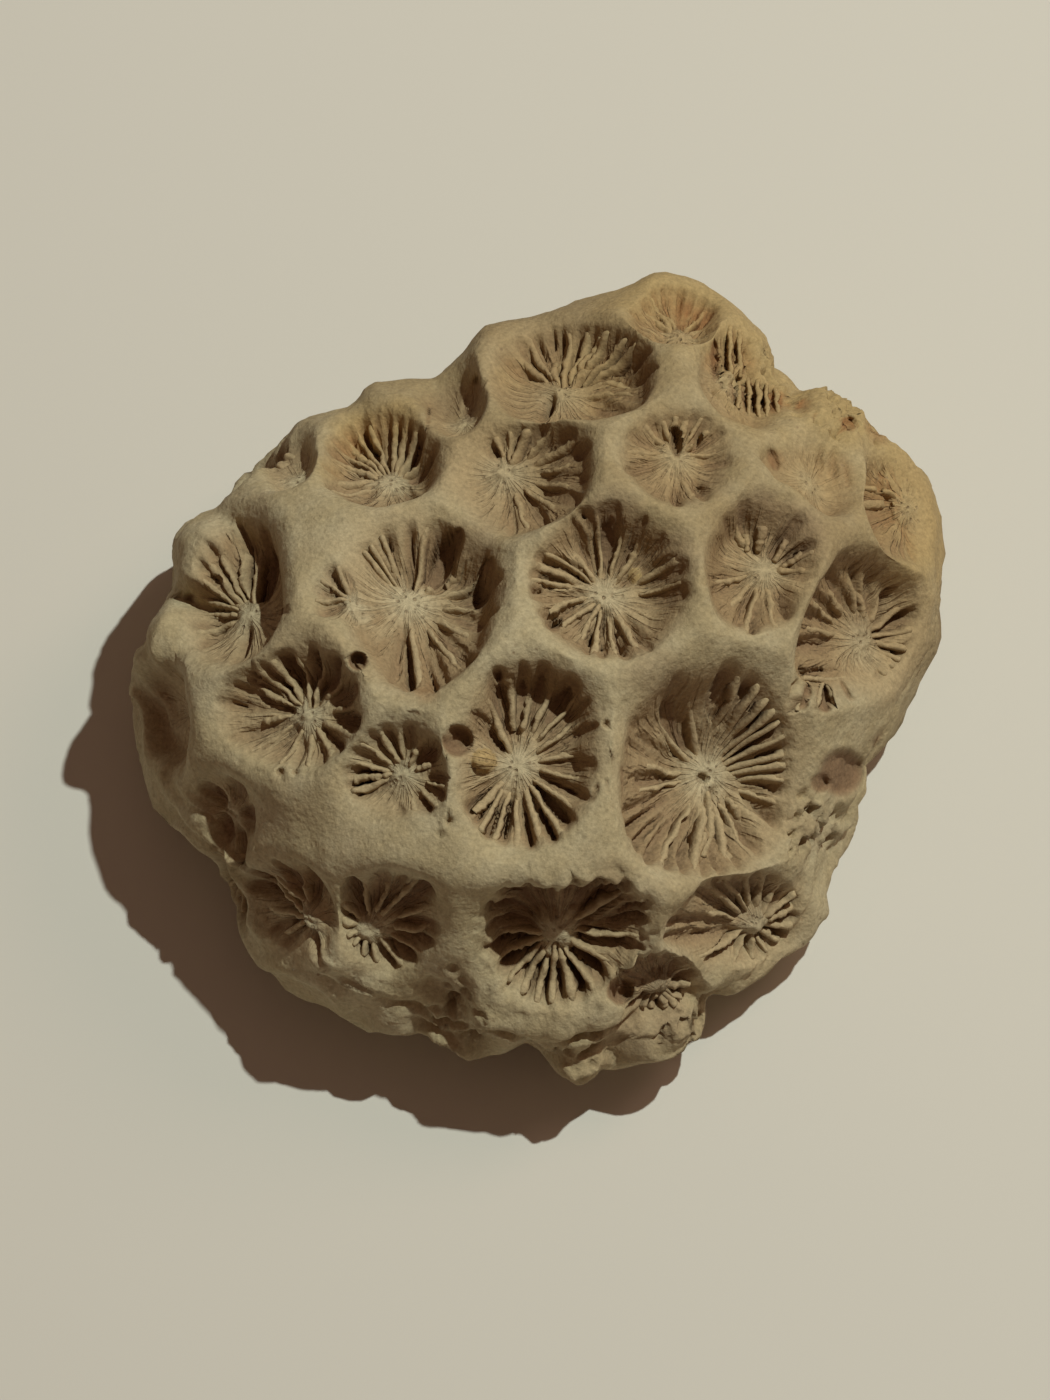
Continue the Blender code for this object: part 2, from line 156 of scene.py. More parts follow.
RIGHT_EDGE_SLOTS = (
    (107, 2.3, 4.0, 0.5, 0.6), (86, 2.1, 3.9, 0.34, 0.5), (130, 1.9, 3.4, 0.5, 0.45),
    (151, 1.8, 3.2, 0.4, 0.4), (41, 1.6, 3.2, 0.5, 0.8), (66, 1.9, 3.5, 0.3, 0.45),
    (24, 1.1, 4.8, 0.85, 0.9), (-19, 1.8, 3.6, 0.7, 0.65), (2, 2.8, 4.2, 0.45, 0.5),
    (188, 1.9, 3.5, 0.8, 0.7), (-38, 2.1, 3.9, 0.4, 0.4), (-60, 2.1, 3.7, 0.3, 0.35),
    (-85, 2.0, 3.5, 0.3, 0.3),
)
SHALLOW_EDGE_SLOTS = (
    (128, 1.2, 2.3, 0.45, 0.6), (150, 1.2, 2.1, 0.45, 0.7), (170, 1.2, 2.1, 0.45, 0.7),
    (190, 1.2, 2.1, 0.45, 0.7), (211, 1.2, 2.2, 0.45, 0.6), (60, 0.9, 2.1, 0.25, 0.4),
    (20, 0.9, 2.0, 0.25, 0.4), (-30, 0.9, 2.3, 0.3, 0.4), (-70, 0.9, 2.3, 0.3, 0.4),
)
PORED_SLOTS = (
    (83, 0.1, 2.1, 0.5, 0.6), (35, 1.0, 2.4, 0.34, 0.85), (50, 1.4, 2.9, 0.3, 0.5),
    (120, 1.1, 2.6, 0.3, 0.45), (101, 1.3, 2.9, 0.25, 0.4), (-55, 2.2, 2.7, 0.3, 0.9),
    (270, 2.3, 2.8, 0.3, 0.9), (193, 1.5, 2.5, 0.5, 0.45), (-8, 1.9, 3.3, 0.7, 0.4),
    (66, 1.5, 3.0, 0.3, 0.45), (150, 1.4, 2.7, 0.3, 0.3),
)
FILLED_SLOTS = (
    (115, 0.9, 3.3, 0.52, 0.6), (74, 0.6, 3.1, 0.5, 0.7), (87, 1.8, 3.6, 0.26, 0.4),
    (58, 1.7, 3.7, 0.5, 0.35), (38, 1.8, 3.8, 0.8, 0.35), (22, 2.9, 4.5, 0.5, 0.5),
    (-19, 2.0, 3.9, 0.75, 0.4), (2, 2.3, 3.8, 0.5, 0.3), (-57, 1.2, 3.1, 0.6, 0.45),
    (-92, 1.4, 2.9, 0.18, 0.3),
)
TALL_WALL_SLOTS = (
    (81, 0.7, 3.7, 0.36, 0.85), (51, 1.0, 3.1, 0.5, 0.95), (73, 2.5, 4.7, 0.3, 0.65),
    (65, 2.6, 4.6, 0.3, 0.65), (56, 3.2, 4.8, 0.26, 0.6), (47, 3.0, 5.1, 0.3, 0.65),
    (41, 3.1, 5.4, 0.3, 0.65), (35, 3.2, 5.5, 0.3, 0.65), (26, 3.6, 5.7, 0.4, 0.9),
    (17, 3.4, 5.4, 0.3, 0.65), (-5, 1.8, 4.1, 0.7, 0.55), (102, 1.6, 2.7, 0.22, 0.7),
    (90, 2.8, 4.8, 0.3, 0.55), (98, 2.9, 4.7, 0.3, 0.45), (112, 2.4, 4.6, 0.4, 0.4),
    (125, 2.1, 4.1, 0.4, 0.35), (141, 1.8, 3.7, 0.45, 0.35), (180, 0.6, 1.4, 0.5, 1.0),
)
TOP_SLOTS = (
    (88, 0.8, 3.7, 0.36, 0.9), (76, 0.6, 2.9, 0.3, 0.8), (64, 0.8, 2.8, 0.4, 0.85),
    (48, 1.0, 3.0, 0.5, 0.8), (98, 1.2, 3.3, 0.22, 0.5), (108, 1.2, 3.7, 0.25, 0.55),
    (118, 1.4, 3.7, 0.25, 0.5), (130, 1.0, 3.4, 0.22, 0.4), (142, 1.0, 3.0, 0.22, 0.35),
    (20, 0.6, 1.6, 0.4, 0.6), (165, 0.8, 2.2, 0.3, 0.4),
)
RUSTY_SLOTS = (
    (52, 1.0, 3.9, 1.0, 1.0), (28, 0.9, 3.1, 0.8, 1.0), (94, 1.1, 4.0, 0.36, 0.75),
    (82, 1.1, 3.9, 0.36, 0.75), (116, 0.8, 4.5, 0.72, 1.0), (128, 2.1, 4.5, 0.4, 0.75),
    (103, 2.8, 4.6, 0.24, 0.4), (150, 1.2, 4.0, 0.5, 0.6), (165, 1.0, 3.2, 0.5, 0.6),
    (-25, 0.7, 1.6, 0.4, 0.9), (195, 2.3, 4.4, 0.55, 0.35), (69, 1.3, 3.7, 0.4, 0.75),
    (139, 1.7, 3.9, 0.28, 0.5), (210, 1.3, 2.5, 0.4, 0.4),
)
WIDE_SHADED_SLOTS = (
    (85, 0.9, 4.0, 0.3, 0.95), (90, 4.1, 5.9, 0.36, 0.65), (56, 1.4, 5.4, 1.6, 1.0),
    (15, 3.2, 5.0, 1.25, 0.8), (35, 2.6, 4.7, 0.3, 0.5), (-7, 2.5, 4.7, 0.7, 0.7),
    (-40, 1.7, 4.6, 0.8, 0.65), (-73, 2.6, 4.5, 0.3, 0.6), (-63, 2.5, 4.1, 0.2, 0.5),
    (266, 2.1, 4.0, 0.65, 0.8), (252, 1.5, 3.6, 0.16, 1.0), (149, 2.7, 4.0, 0.38, 0.85),
    (136, 1.5, 3.5, 0.5, 0.85), (127, 3.3, 5.3, 0.4, 0.5), (110, 2.0, 4.3, 0.55, 0.65),
    (102, 4.0, 5.5, 0.36, 0.45), (121, 2.5, 4.5, 0.3, 0.55),
)
SIDE_LOBE_SLOTS = (
    (128, 0.5, 2.4, 0.5, 0.85), (163, 0.8, 2.1, 0.36, 0.65), (203, 0.3, 2.4, 0.8, 0.6),
    (100, 0.8, 2.0, 0.3, 0.45),
)
LEFT_DEEP_SLOTS = (
    (80, 0.8, 4.6, 1.3, 1.0), (99, 1.4, 5.0, 0.4, 0.8), (112, 1.2, 4.5, 0.45, 0.65),
    (124, 1.4, 4.7, 0.35, 0.5), (136, 1.6, 4.5, 0.3, 0.4), (150, 1.8, 3.8, 0.3, 0.4),
    (165, 1.2, 3.3, 0.4, 0.4), (188, 0.8, 3.4, 0.6, 0.45), (212, 2.0, 3.6, 0.5, 0.6),
    (250, 0.6, 2.4, 0.45, 0.6),
)
LEFT_FAN_SLOTS = (
    (111, 1.6, 5.3, 1.1, 1.0), (85, 1.1, 4.1, 0.32, 0.85), (61, 1.7, 4.3, 0.7, 0.75),
    (100, 0.4, 1.2, 0.5, 0.8), (29, 2.0, 3.7, 0.9, 0.5), (-8, 1.6, 3.4, 1.0, 0.6),
    (-46, 1.0, 3.1, 0.6, 0.55), (-70, 2.1, 3.7, 0.4, 0.3), (260, 1.7, 3.8, 0.18, 0.35),
    (229, 0.9, 3.2, 0.7, 0.3), (195, 1.9, 4.2, 0.5, 0.35), (165, 1.2, 2.4, 0.45, 0.9),
    (160, 2.3, 4.0, 0.36, 0.5), (134, 0.9, 3.2, 0.45, 0.9), (172, 3.4, 5.4, 0.3, 0.55),
    (149, 2.5, 4.5, 0.26, 0.5), (142, 3.2, 5.0, 0.3, 0.5),
)
SMALL_MIDDLE_SLOTS = (
    (40, 0.8, 2.3, 0.85, 1.0), (-5, 1.9, 2.8, 0.5, 0.65), (-26, 1.9, 2.9, 0.6, 0.65),
    (-52, 1.8, 3.1, 0.5, 0.85), (80, 1.8, 3.1, 0.5, 0.45), (108, 0.9, 2.9, 0.45, 0.65),
    (126, 1.1, 2.9, 0.36, 0.55), (178, 0.9, 2.9, 0.42, 1.0), (193, 1.0, 3.9, 0.45, 0.9),
    (206, 2.2, 4.0, 0.26, 1.0), (155, 1.3, 2.7, 0.3, 0.45), (-80, 2.5, 2.9, 0.24, 0.7),
)
TWIN_LEFT_SLOTS = (
    (157, 0.7, 3.7, 0.95, 0.85), (139, 2.0, 4.4, 0.55, 0.65), (118, 1.4, 3.1, 0.8, 0.7),
    (92, 0.9, 2.6, 0.6, 0.7), (201, 0.5, 2.2, 0.5, 0.7), (-84, 0.6, 2.6, 0.4, 0.7),
    (222, 1.2, 2.4, 0.22, 0.35),
)
TWIN_RIGHT_SLOTS = (
    (112, 0.8, 3.4, 0.8, 0.9), (76, 1.2, 3.1, 0.8, 0.65), (33, 1.8, 4.3, 1.2, 1.0),
    (0, 1.8, 3.9, 0.6, 0.65), (-15, 2.1, 4.1, 0.36, 0.75), (-38, 1.4, 4.1, 0.42, 0.8),
    (-59, 0.9, 3.8, 0.5, 0.9), (267, 0.9, 3.0, 0.3, 0.65), (245, 0.9, 2.9, 0.55, 0.85),
    (178, 0.9, 1.7, 0.45, 0.55), (150, 1.0, 2.0, 0.36, 0.45), (215, 0.9, 2.0, 0.36, 0.45),
    (55, 1.2, 2.7, 0.36, 0.65),
)
FRONT_SLOTS = (
    (17, 1.8, 3.3, 0.3, 0.65), (6, 2.8, 5.6, 0.32, 0.65), (14, 3.7, 5.6, 0.3, 0.55),
    (-17, 1.2, 4.3, 0.85, 1.0), (-48, 1.4, 4.3, 0.72, 1.0), (-67, 1.7, 4.5, 0.75, 1.0),
    (-85, 2.3, 4.4, 0.32, 0.95), (262, 2.1, 4.5, 0.5, 0.85), (245, 2.2, 4.3, 0.36, 0.85),
    (235, 2.2, 3.4, 0.24, 0.9), (217, 1.2, 4.4, 0.6, 0.85), (200, 1.0, 4.1, 0.5, 0.9),
    (179, 1.1, 3.8, 0.38, 0.75), (160, 1.2, 4.6, 0.55, 0.85), (141, 1.1, 3.8, 0.6, 0.9),
    (120, 1.1, 3.0, 0.65, 0.9), (98, 1.1, 2.5, 0.55, 0.9), (73, 1.2, 3.2, 0.65, 0.9),
    (52, 1.3, 4.2, 0.8, 0.9), (33, 1.6, 4.8, 0.6, 0.8), (270, 0.7, 1.6, 0.22, 0.6),
)
FRONT_RIGHT_SLOTS = (
    (106, 1.4, 2.8, 0.4, 0.45), (86, 1.4, 2.9, 0.4, 0.5), (67, 1.4, 2.8, 0.4, 0.45),
    (147, 1.1, 3.0, 0.5, 0.6), (126, 1.1, 2.7, 0.4, 0.5), (44, 1.0, 2.5, 0.4, 0.5),
    (27, 1.7, 3.5, 0.36, 0.5), (11, 1.1, 3.6, 0.34, 0.65), (-18, 1.0, 3.8, 0.72, 0.65),
    (259, 0.8, 2.4, 0.65, 0.4), (225, 0.9, 2.9, 0.5, 0.6), (200, 1.2, 3.4, 0.42, 0.65),
    (178, 1.6, 5.3, 0.42, 0.55), (190, 3.5, 5.4, 0.55, 0.4), (-45, 1.3, 2.9, 0.3, 0.3),
    (-75, 1.3, 2.7, 0.3, 0.4),
)
FRONT_SMALL_SLOTS = (
    (160, 0.7, 2.1, 0.5, 0.9), (128, 0.7, 2.1, 0.45, 0.75), (100, 0.7, 2.0, 0.45, 0.75),
    (72, 0.7, 2.0, 0.4, 0.75), (45, 0.7, 2.0, 0.4, 0.65), (18, 0.7, 2.0, 0.36, 0.55),
    (-8, 0.7, 2.0, 0.36, 0.55), (-32, 0.7, 1.9, 0.36, 0.55), (-58, 0.7, 1.9, 0.3, 0.55),
    (-85, 0.7, 2.0, 0.4, 0.65), (-115, 0.7, 2.1, 0.45, 0.65), (-145, 0.7, 2.0, 0.4, 0.75),
)

# Cups of the growing face: centre (across, up), distance to the crest in eight directions from the
# right anticlockwise, spongy centre (across, up), depth against a full cup, steep side (direction,
# amount and how ragged the crest is), and the slots, or how many even septa there are.
FACE_CUPS = (
    ((4.6, 6.2), (4.9, 4.7, 4.9, 4.8, 5.0, 4.6, 4.7, 4.8), (4.25, 5.1), 1.0, (40, 1.0),
     MIDDLE_SLOTS),
    ((10.5, -5.1), (5.5, 6.1, 6.6, 5.6, 4.7, 6.1, 6.4, 6.5), (10.0, -5.7), 1.0, (50, 1.0),
     LARGE_SLOTS),
    ((-0.6, -4.4), (4.2, 5.5, 6.2, 4.7, 3.8, 5.2, 5.9, 5.0), (-1.0, -5.0), 1.0, (60, 1.0),
     LEFT_OF_LARGE_SLOTS),
    ((13.9, 7.0), (3.2, 4.4, 4.4, 3.8, 3.3, 4.0, 4.2, 3.2), (13.8, 6.7), 1.12, (65, 1.0),
     NARROW_SLOTS),
    ((20.2, 3.9), (4.2, 3.8, 4.3, 3.3, 3.2, 5.6, 3.7, 3.8), (19.5, 2.6), 0.95, (30, 0.6),
     RIGHT_EDGE_SLOTS),
    ((22.7, 10.7), (2.2, 2.5, 3.1, 2.6, 2.2, 2.4, 3.1, 2.5), (22.7, 10.6), 0.6, (180, 0.5),
     SHALLOW_EDGE_SLOTS),
    ((8.9, 13.9), (3.3, 3.5, 2.8, 3.3, 3.6, 3.2, 3.3, 3.1), (8.5, 13.4), 0.8, (-10, 0.6),
     PORED_SLOTS),
    ((-0.7, 13.1), (4.0, 4.0, 2.9, 3.2, 4.3, 4.6, 3.7, 3.8), (-1.2, 12.2), 0.8, (0, 0.5),
     FILLED_SLOTS),
    ((2.3, 19.3), (5.1, 3.8, 3.2, 4.3, 5.0, 4.0, 2.7, 3.8), (1.9, 16.9), 1.0, (-20, 0.4),
     TALL_WALL_SLOTS),
    ((8.9, 22.7), (2.3, 2.4, 2.3, 2.5, 2.7, 2.2, 1.9, 2.2), (9.0, 20.9), 0.95, (30, 0.6),
     TOP_SLOTS),
    ((17.3, 13.0), (2.8, 2.5, 2.0, 2.6, 2.7, 1.6, 2.2, 2.9), (17.1, 13.2), 0.66, (160, 0.5), 0),
    ((13.0, 19.2), (2.8, 2.5, 2.7, 2.6, 2.7, 2.9, 3.3, 3.4), (13.0, 19.1), 0.65, (30, 0.5), 0),
    ((-4.9, 17.2), (1.9, 1.9, 2.0, 1.9, 1.8, 2.1, 2.0, 1.9), (-4.9, 17.2), 0.9, (0, 0.6), 0),
    ((-8.9, 14.0), (3.1, 2.8, 3.2, 3.7, 4.0, 3.7, 3.2, 3.0), (-8.6, 11.9), 1.0, (40, 1.0),
     RUSTY_SLOTS),
    ((-7.0, 5.4), (4.8, 5.0, 5.1, 5.0, 4.6, 4.6, 5.9, 4.8), (-7.4, 4.3), 1.0, (45, 1.0),
     WIDE_SHADED_SLOTS),
    ((-11.6, 5.6), (1.6, 1.6, 1.9, 2.1, 2.0, 2.0, 1.9, 1.5), (-10.9, 4.9), 0.8, (0, 0.0),
     SIDE_LOBE_SLOTS),
    ((-18.2, 5.7), (2.7, 3.1, 4.7, 4.2, 3.2, 4.1, 4.5, 3.2), (-17.0, 3.9), 0.85, (20, 1.0),
     LEFT_DEEP_SLOTS),
    ((-14.4, -1.4), (3.8, 3.8, 4.0, 3.3, 5.9, 4.2, 3.7, 3.9), (-13.4, -2.0), 0.95, (80, 0.9),
     LEFT_FAN_SLOTS),
    ((-8.3, -5.2), (2.8, 3.0, 2.8, 2.8, 3.7, 3.2, 2.6, 3.5), (-7.8, -5.5), 0.8, (40, 0.8),
     SMALL_MIDDLE_SLOTS),
    ((-15.1, -13.8), (2.9, 3.0, 2.9, 3.2, 2.9, 2.5, 2.9, 3.2), (-13.3, -14.1), 0.65, (85, 0.8),
     TWIN_LEFT_SLOTS),
    ((-9.4, -14.2), (3.6, 3.9, 3.1, 3.0, 2.3, 2.7, 3.3, 3.7), (-9.8, -14.5), 0.65, (60, 0.8),
     TWIN_RIGHT_SLOTS),
    ((1.6, -15.5), (5.4, 5.2, 3.0, 4.7, 4.6, 4.6, 4.3, 4.4), (1.3, -14.6), 1.0, (110, 1.0, 0.35),
     FRONT_SLOTS),
    ((13.0, -14.5), (3.8, 3.2, 2.6, 3.6, 5.2, 3.6, 2.7, 3.0), (13.1, -14.6), 0.62, (100, 0.5, 0.05),
     FRONT_RIGHT_SLOTS),
    ((7.5, -18.6), (2.7, 2.3, 2.0, 2.3, 2.7, 2.2, 2.0, 2.2), (7.5, -18.4), 0.75, (90, 0.8, 0.4),
     FRONT_SMALL_SLOTS),
    ((-22.9, -1.8), (1.7, 2.1, 2.9, 2.4, 1.4, 2.0, 3.1, 2.4), (-22.8, -1.8), 0.9, (20, 0.8), 0),
    ((-18.9, -8.3), (1.6, 2.2, 2.5, 2.4, 1.7, 1.8, 2.7, 2.3), (-18.7, -8.2), 0.44, (30, 0.2), 5),
    ((-15.1, 13.6), (1.5, 1.6, 1.8, 1.6, 1.5, 1.6, 1.8, 1.6), (-15.0, 13.4), 0.9, (20, 0.7), 0),
)

# Cups of the flanks: direction from the middle of the rim (azimuth, height), half width, half
# height, number of septa.
FLANK_CUPS = (
    ((35, 14), 3.6, 3.4, 18),
    ((62, 11), 3.9, 3.3, 20),
    ((92, 12), 4.2, 3.4, 21),
    ((121, 12), 3.8, 3.6, 19),
    ((147, 15), 3.5, 3.6, 18),
    ((172, 6), 2.6, 2.3, 12),
    ((-144, 3), 2.9, 2.1, 12),
)

# Bored pits and hollows: (across, up), radius, depth.
PITS = (
    ((19.2, 15.8), 0.45, 1.0),
    ((-4.6, -3.5), 0.95, 1.6),
    ((-10.6, 1.3), 0.52, 1.9),
    ((18.7, -5.5), 1.6, 0.9),
    ((17.3, -6.1), 0.6, 0.8),
    ((4.3, -2.5), 0.18, 0.4),
    ((10.1, -5.8), 0.3, 0.6),
    ((1.2, 3.4), 0.35, 0.8),
    ((-15.0, 4.3), 0.22, 0.5),
    ((-21.0, 5.2), 0.25, 0.5),
    ((-19.3, 6.2), 0.22, 0.5),
    ((-15.3, -5.4), 0.22, 0.5),
    ((-14.4, -5.4), 0.16, 0.4),
    ((-5.1, -8.3), 0.22, 0.5),
    ((-5.6, -9.1), 0.16, 0.4),
    ((13.5, 19.7), 0.42, 1.2),
    ((5.2, -18.6), 0.85, 1.5),
)

# Cracks and narrow slits of the broken places: (across, up), direction, length, width, depth.
SLITS = (
    ((-5.3, 7.5), 64, 4.0, 1.2, 0.8),
    ((-3.0, 5.9), 76, 3.4, 1.0, 0.7),
    ((3.6, -6.6), 70, 1.2, 0.34, 0.5),
    ((4.4, -6.2), 104, 0.9, 0.28, 0.4),
    ((4.6, -7.5), 60, 0.8, 0.28, 0.4),
    ((11.05, 19.6), 92, 2.6, 0.56, 1.0),
    ((11.7, 19.8), 88, 2.2, 0.30, 0.8),
    ((12.25, 20.5), 86, 2.6, 0.36, 0.9),
    ((12.85, 20.2), 90, 3.0, 0.36, 0.9),
    ((13.4, 21.2), 92, 1.4, 0.34, 0.8),
    ((14.0, 20.9), 95, 1.2, 0.32, 0.7),
    ((12.2, 17.6), 100, 1.5, 0.44, 0.8),
    ((12.85, 17.5), 96, 2.2, 0.40, 1.0),
    ((13.4, 17.4), 92, 2.2, 0.36, 1.0),
    ((13.95, 17.4), 90, 1.9, 0.32, 0.8),
    ((14.5, 17.3), 88, 1.9, 0.42, 0.9),
    ((15.05, 17.3), 80, 1.5, 0.34, 0.8),
    ((15.5, 17.0), 90, 0.9, 0.26, 0.5),
    ((16.3, 17.0), 70, 0.8, 0.50, 0.6),
    ((17.1, 16.3), 85, 0.9, 0.26, 0.5),
    ((14.3, 19.0), 90, 0.7, 0.34, 0.5),
    ((14.5, 13.5), 110, 1.4, 0.60, 0.5),
    ((17.4, 13.2), 84, 1.8, 0.28, 0.35),
    ((18.2, 13.0), 90, 2.0, 0.28, 0.35),
    ((19.0, 12.6), 96, 1.6, 0.28, 0.35),
    ((21.2, 12.4), 80, 1.6, 0.36, 0.6),
    ((21.7, 10.6), 102, 1.8, 0.40, 0.6),
    ((22.4, 11.6), 95, 1.5, 0.26, 0.4),
    ((22.4, 9.4), 112, 1.2, 0.30, 0.4),
    ((8.6, 14.5), 94, 1.9, 0.60, 0.8),
    ((9.9, 14.5), 75, 1.2, 0.34, 0.7),
    ((9.9, 11.5), 90, 0.5, 0.34, 0.7),
    ((-3.8, 17.2), 80, 2.8, 1.10, 0.55),
    ((-5.3, 17.0), 82, 2.0, 0.34, 0.7),
    ((-6.4, 16.6), 85, 2.7, 0.28, 0.6),
    ((15.6, -0.8), 72, 1.1, 0.42, 0.8),
    ((16.4, -0.9), 76, 1.7, 0.56, 0.9),
    ((17.6, -1.0), 90, 1.7, 0.95, 1.0),
    ((18.9, -0.5), 118, 1.3, 0.36, 0.5),
    ((16.8, 0.6), 15, 1.5, 0.50, 0.8),
    ((17.9, 0.7), 10, 1.0, 0.34, 0.5),
    ((5.3, -5.8), 95, 1.6, 0.30, 0.6),
    ((20.6, -3.6), 20, 1.4, 0.40, 0.7),
)

# Lodged sand grains: (across, up), radius, lift of the middle above the ground it sits on.
SAND_GRAINS = (
    ((-3.1, -4.6), 0.72, 1.1),
    ((6.3, 7.6), 0.42, 0.4),
)

# Iron stains: (across, up), radius, strength.
STAINS = (
    ((-9.3, 3.9), 0.6, 0.8),
    ((-6.4, -0.6), 0.9, 0.5),
    ((-6.6, -4.6), 0.5, 0.6),
    ((11.0, 19.5), 1.0, 1.0),
    ((13.2, 17.5), 1.1, 1.0),
    ((14.6, 17.2), 1.0, 1.0),
    ((16.4, 16.9), 0.6, 0.8),
    ((9.3, 23.0), 0.8, 0.8),
    ((10.4, 22.3), 1.1, 0.9),
    ((9.1, 21.2), 0.9, 0.7),
    ((12.3, 19.8), 1.8, 0.4),
    ((14.6, 13.4), 0.9, 0.6),
    ((21.3, 12.2), 0.9, 0.5),
    ((21.7, 10.2), 0.9, 0.4),
    ((21.2, 15.6), 1.2, 0.9),
    ((19.0, 15.9), 0.4, 1.0),
    ((18.4, 12.8), 1.5, 0.35),
    ((21.1, 11.4), 1.6, 0.3),
    ((-11.6, 14.2), 1.6, 0.25),
)

# Browner patches, partly dirt and partly painted shade on shadowed flanks, walls and hollows:
# (across, up), radius, strength.
DIRT_AND_SHADE_PATCHES = (
    ((-5.0, -18.3), 2.0, 0.5),
    ((5.8, -21.8), 2.2, 0.6),
    ((8.4, -20.8), 2.0, 0.6),
    ((-4.0, -22.4), 2.0, 0.5),
    ((-7.5, -20.8), 1.6, 0.4),
    ((4.6, -11.9), 1.6, 0.5),
    ((7.4, -18.2), 2.4, 0.8),
    ((13.0, -13.2), 2.8, 0.45),
    ((-5.0, 17.3), 1.8, 0.5),
    ((-15.1, 13.6), 1.6, 0.4),
    ((17.0, -8.8), 2.2, 0.4),
    ((18.6, -5.6), 1.9, 0.8),
    ((17.4, -0.9), 1.8, 0.3),
    ((-22.8, -1.8), 2.6, 0.4),
    ((7.3, 0.6), 2.6, 0.5),
    ((11.0, -2.2), 3.2, 0.5),
    ((-0.6, -1.2), 2.0, 0.3),
    ((8.6, 7.8), 1.8, 0.5),
    ((4.8, 10.0), 2.4, 0.6),
    ((20.2, 4.4), 2.6, 0.35),
    ((11.0, 12.0), 1.4, 0.3),
    ((-11.8, 5.9), 1.6, 0.4),
    ((15.6, 9.0), 2.6, 0.9),
    ((13.6, 10.2), 2.2, 0.8),
    ((-3.8, 8.4), 2.2, 0.6),
    ((-3.0, 5.8), 1.6, 0.5),
)

# Warmer, yellowed places away from the edge: (across, up), radius, strength.
YELLOWED = (
    ((-10.8, 15.3), 2.6, 1.0),
    ((-8.4, 16.2), 2.0, 0.9),
    ((-12.4, 13.0), 1.4, 0.5),
    ((3.6, 18.6), 3.4, 0.45),
    ((-1.2, 18.9), 1.6, 0.3),
    ((17.2, 12.8), 2.8, 0.35),
    ((8.6, 13.8), 2.6, 0.2),
)

# Yellowed edge: a line of places (across, up), and the distances from it at which the yellow
# starts and is full. Every soft patch is full in its core. The colour also turns darker and
# browner towards the tan heading (across, up).
YELLOW_EDGE = ((6.5, 25.1), (13.0, 22.5), (15.0, 18.5), (22.0, 16.0), (24.9, 9.0))
YELLOW_BAND = (5.5, 0.4)
YELLOW_SWAY = 1.2
PATCH_RIPPLE = 0.3
PATCH_CORE = 0.3
TAN_HEADING = (0.4, 0.9)
TAN_BAND = (2.0, 15.0)

# Broken, porous places: (across, up), radius, depth of the breakage.
BREAKS = (
    ((13.6, 19.4), 2.6, 1.0),
    ((18.2, 16.5), 2.8, 1.0),
    ((21.4, 15.2), 1.6, 0.6),
    ((16.8, -8.8), 2.6, 1.0),
    ((9.4, -21.0), 2.2, 0.9),
    ((-4.5, -20.6), 3.0, 0.8),
    ((17.4, -0.3), 1.9, 0.6),
    ((2.8, -22.3), 2.2, 0.7),
    ((-5.0, -18.4), 1.7, 0.35),
)

# Terraces of the edge, pushed out along the face axis: (across, up), radius, level of the terrace
# at its middle. They fall off gently away from the middle of the face.
TERRACES = (
    ((-1.2, -20.0), 3.4, 15.0),
    ((3.0, -20.1), 3.4, 15.2),
    ((2.8, -22.9), 2.4, 13.2),
    ((7.2, -21.0), 3.4, 12.6),
    ((-5.4, -20.6), 3.4, 12.8),
    ((-8.4, -19.3), 4.0, 13.4),
    ((-11.6, -17.8), 4.4, 14.4),
    ((-13.6, -15.0), 5.6, 15.8),
    ((-19.8, -9.6), 3.2, 11.3),
    ((-22.6, 2.2), 3.4, 9.4),
    ((-20.8, 8.0), 3.0, 9.6),
)
TERRACE_SLOPE = 0.35
TERRACE_MOST = 3.0
TERRACE_CORE = 0.4

# Swells and notches of the surface: (across, up) from one end to the other, rise, half width.
SWELLS = (
    ((-18.5, -10.6), (-12.0, -10.9), 0.55, 1.5),
    ((-12.0, -10.9), (-5.0, -11.2), 0.75, 1.7),
    ((-5.0, -11.2), (3.5, -12.4), 0.85, 1.4),
    ((3.5, -12.4), (9.0, -12.6), 0.5, 1.3),
    ((1.5, -14.4), (1.7, -14.4), 0.8, 1.2),
    ((2.6, -22.6), (2.7, -23.8), 0.5, 0.9),
    ((-4.0, -22.6), (-3.4, -23.6), 0.6, 0.9),
    ((-0.3, -22.4), (-0.1, -23.6), -0.8, 0.8),
    ((-7.3, -20.4), (-7.0, -21.6), -0.6, 0.8),
    ((10.5, -19.9), (12.2, -20.4), -1.1, 0.9),
    ((14.3, 13.9), (15.0, 12.9), -0.8, 0.6),
    ((18.3, 13.5), (18.6, 11.8), -0.6, 1.0),
    ((21.6, 12.6), (22.1, 9.8), -0.8, 0.8),
    ((-3.0, -19.6), (2.0, -20.6), 0.9, 1.3),
    ((2.0, -20.6), (4.6, -19.9), 0.8, 0.9),
    ((-6.4, -18.4), (-4.4, -19.4), -0.7, 0.6),
    ((4.9, -21.2), (8.0, -20.2), -0.7, 0.6),
    ((14.2, 16.6), (15.6, 19.6), -0.5, 0.7),
    ((17.4, 17.2), (19.4, 16.2), 0.7, 1.0),
    ((15.8, 18.0), (16.4, 16.8), -0.7, 0.4),
)

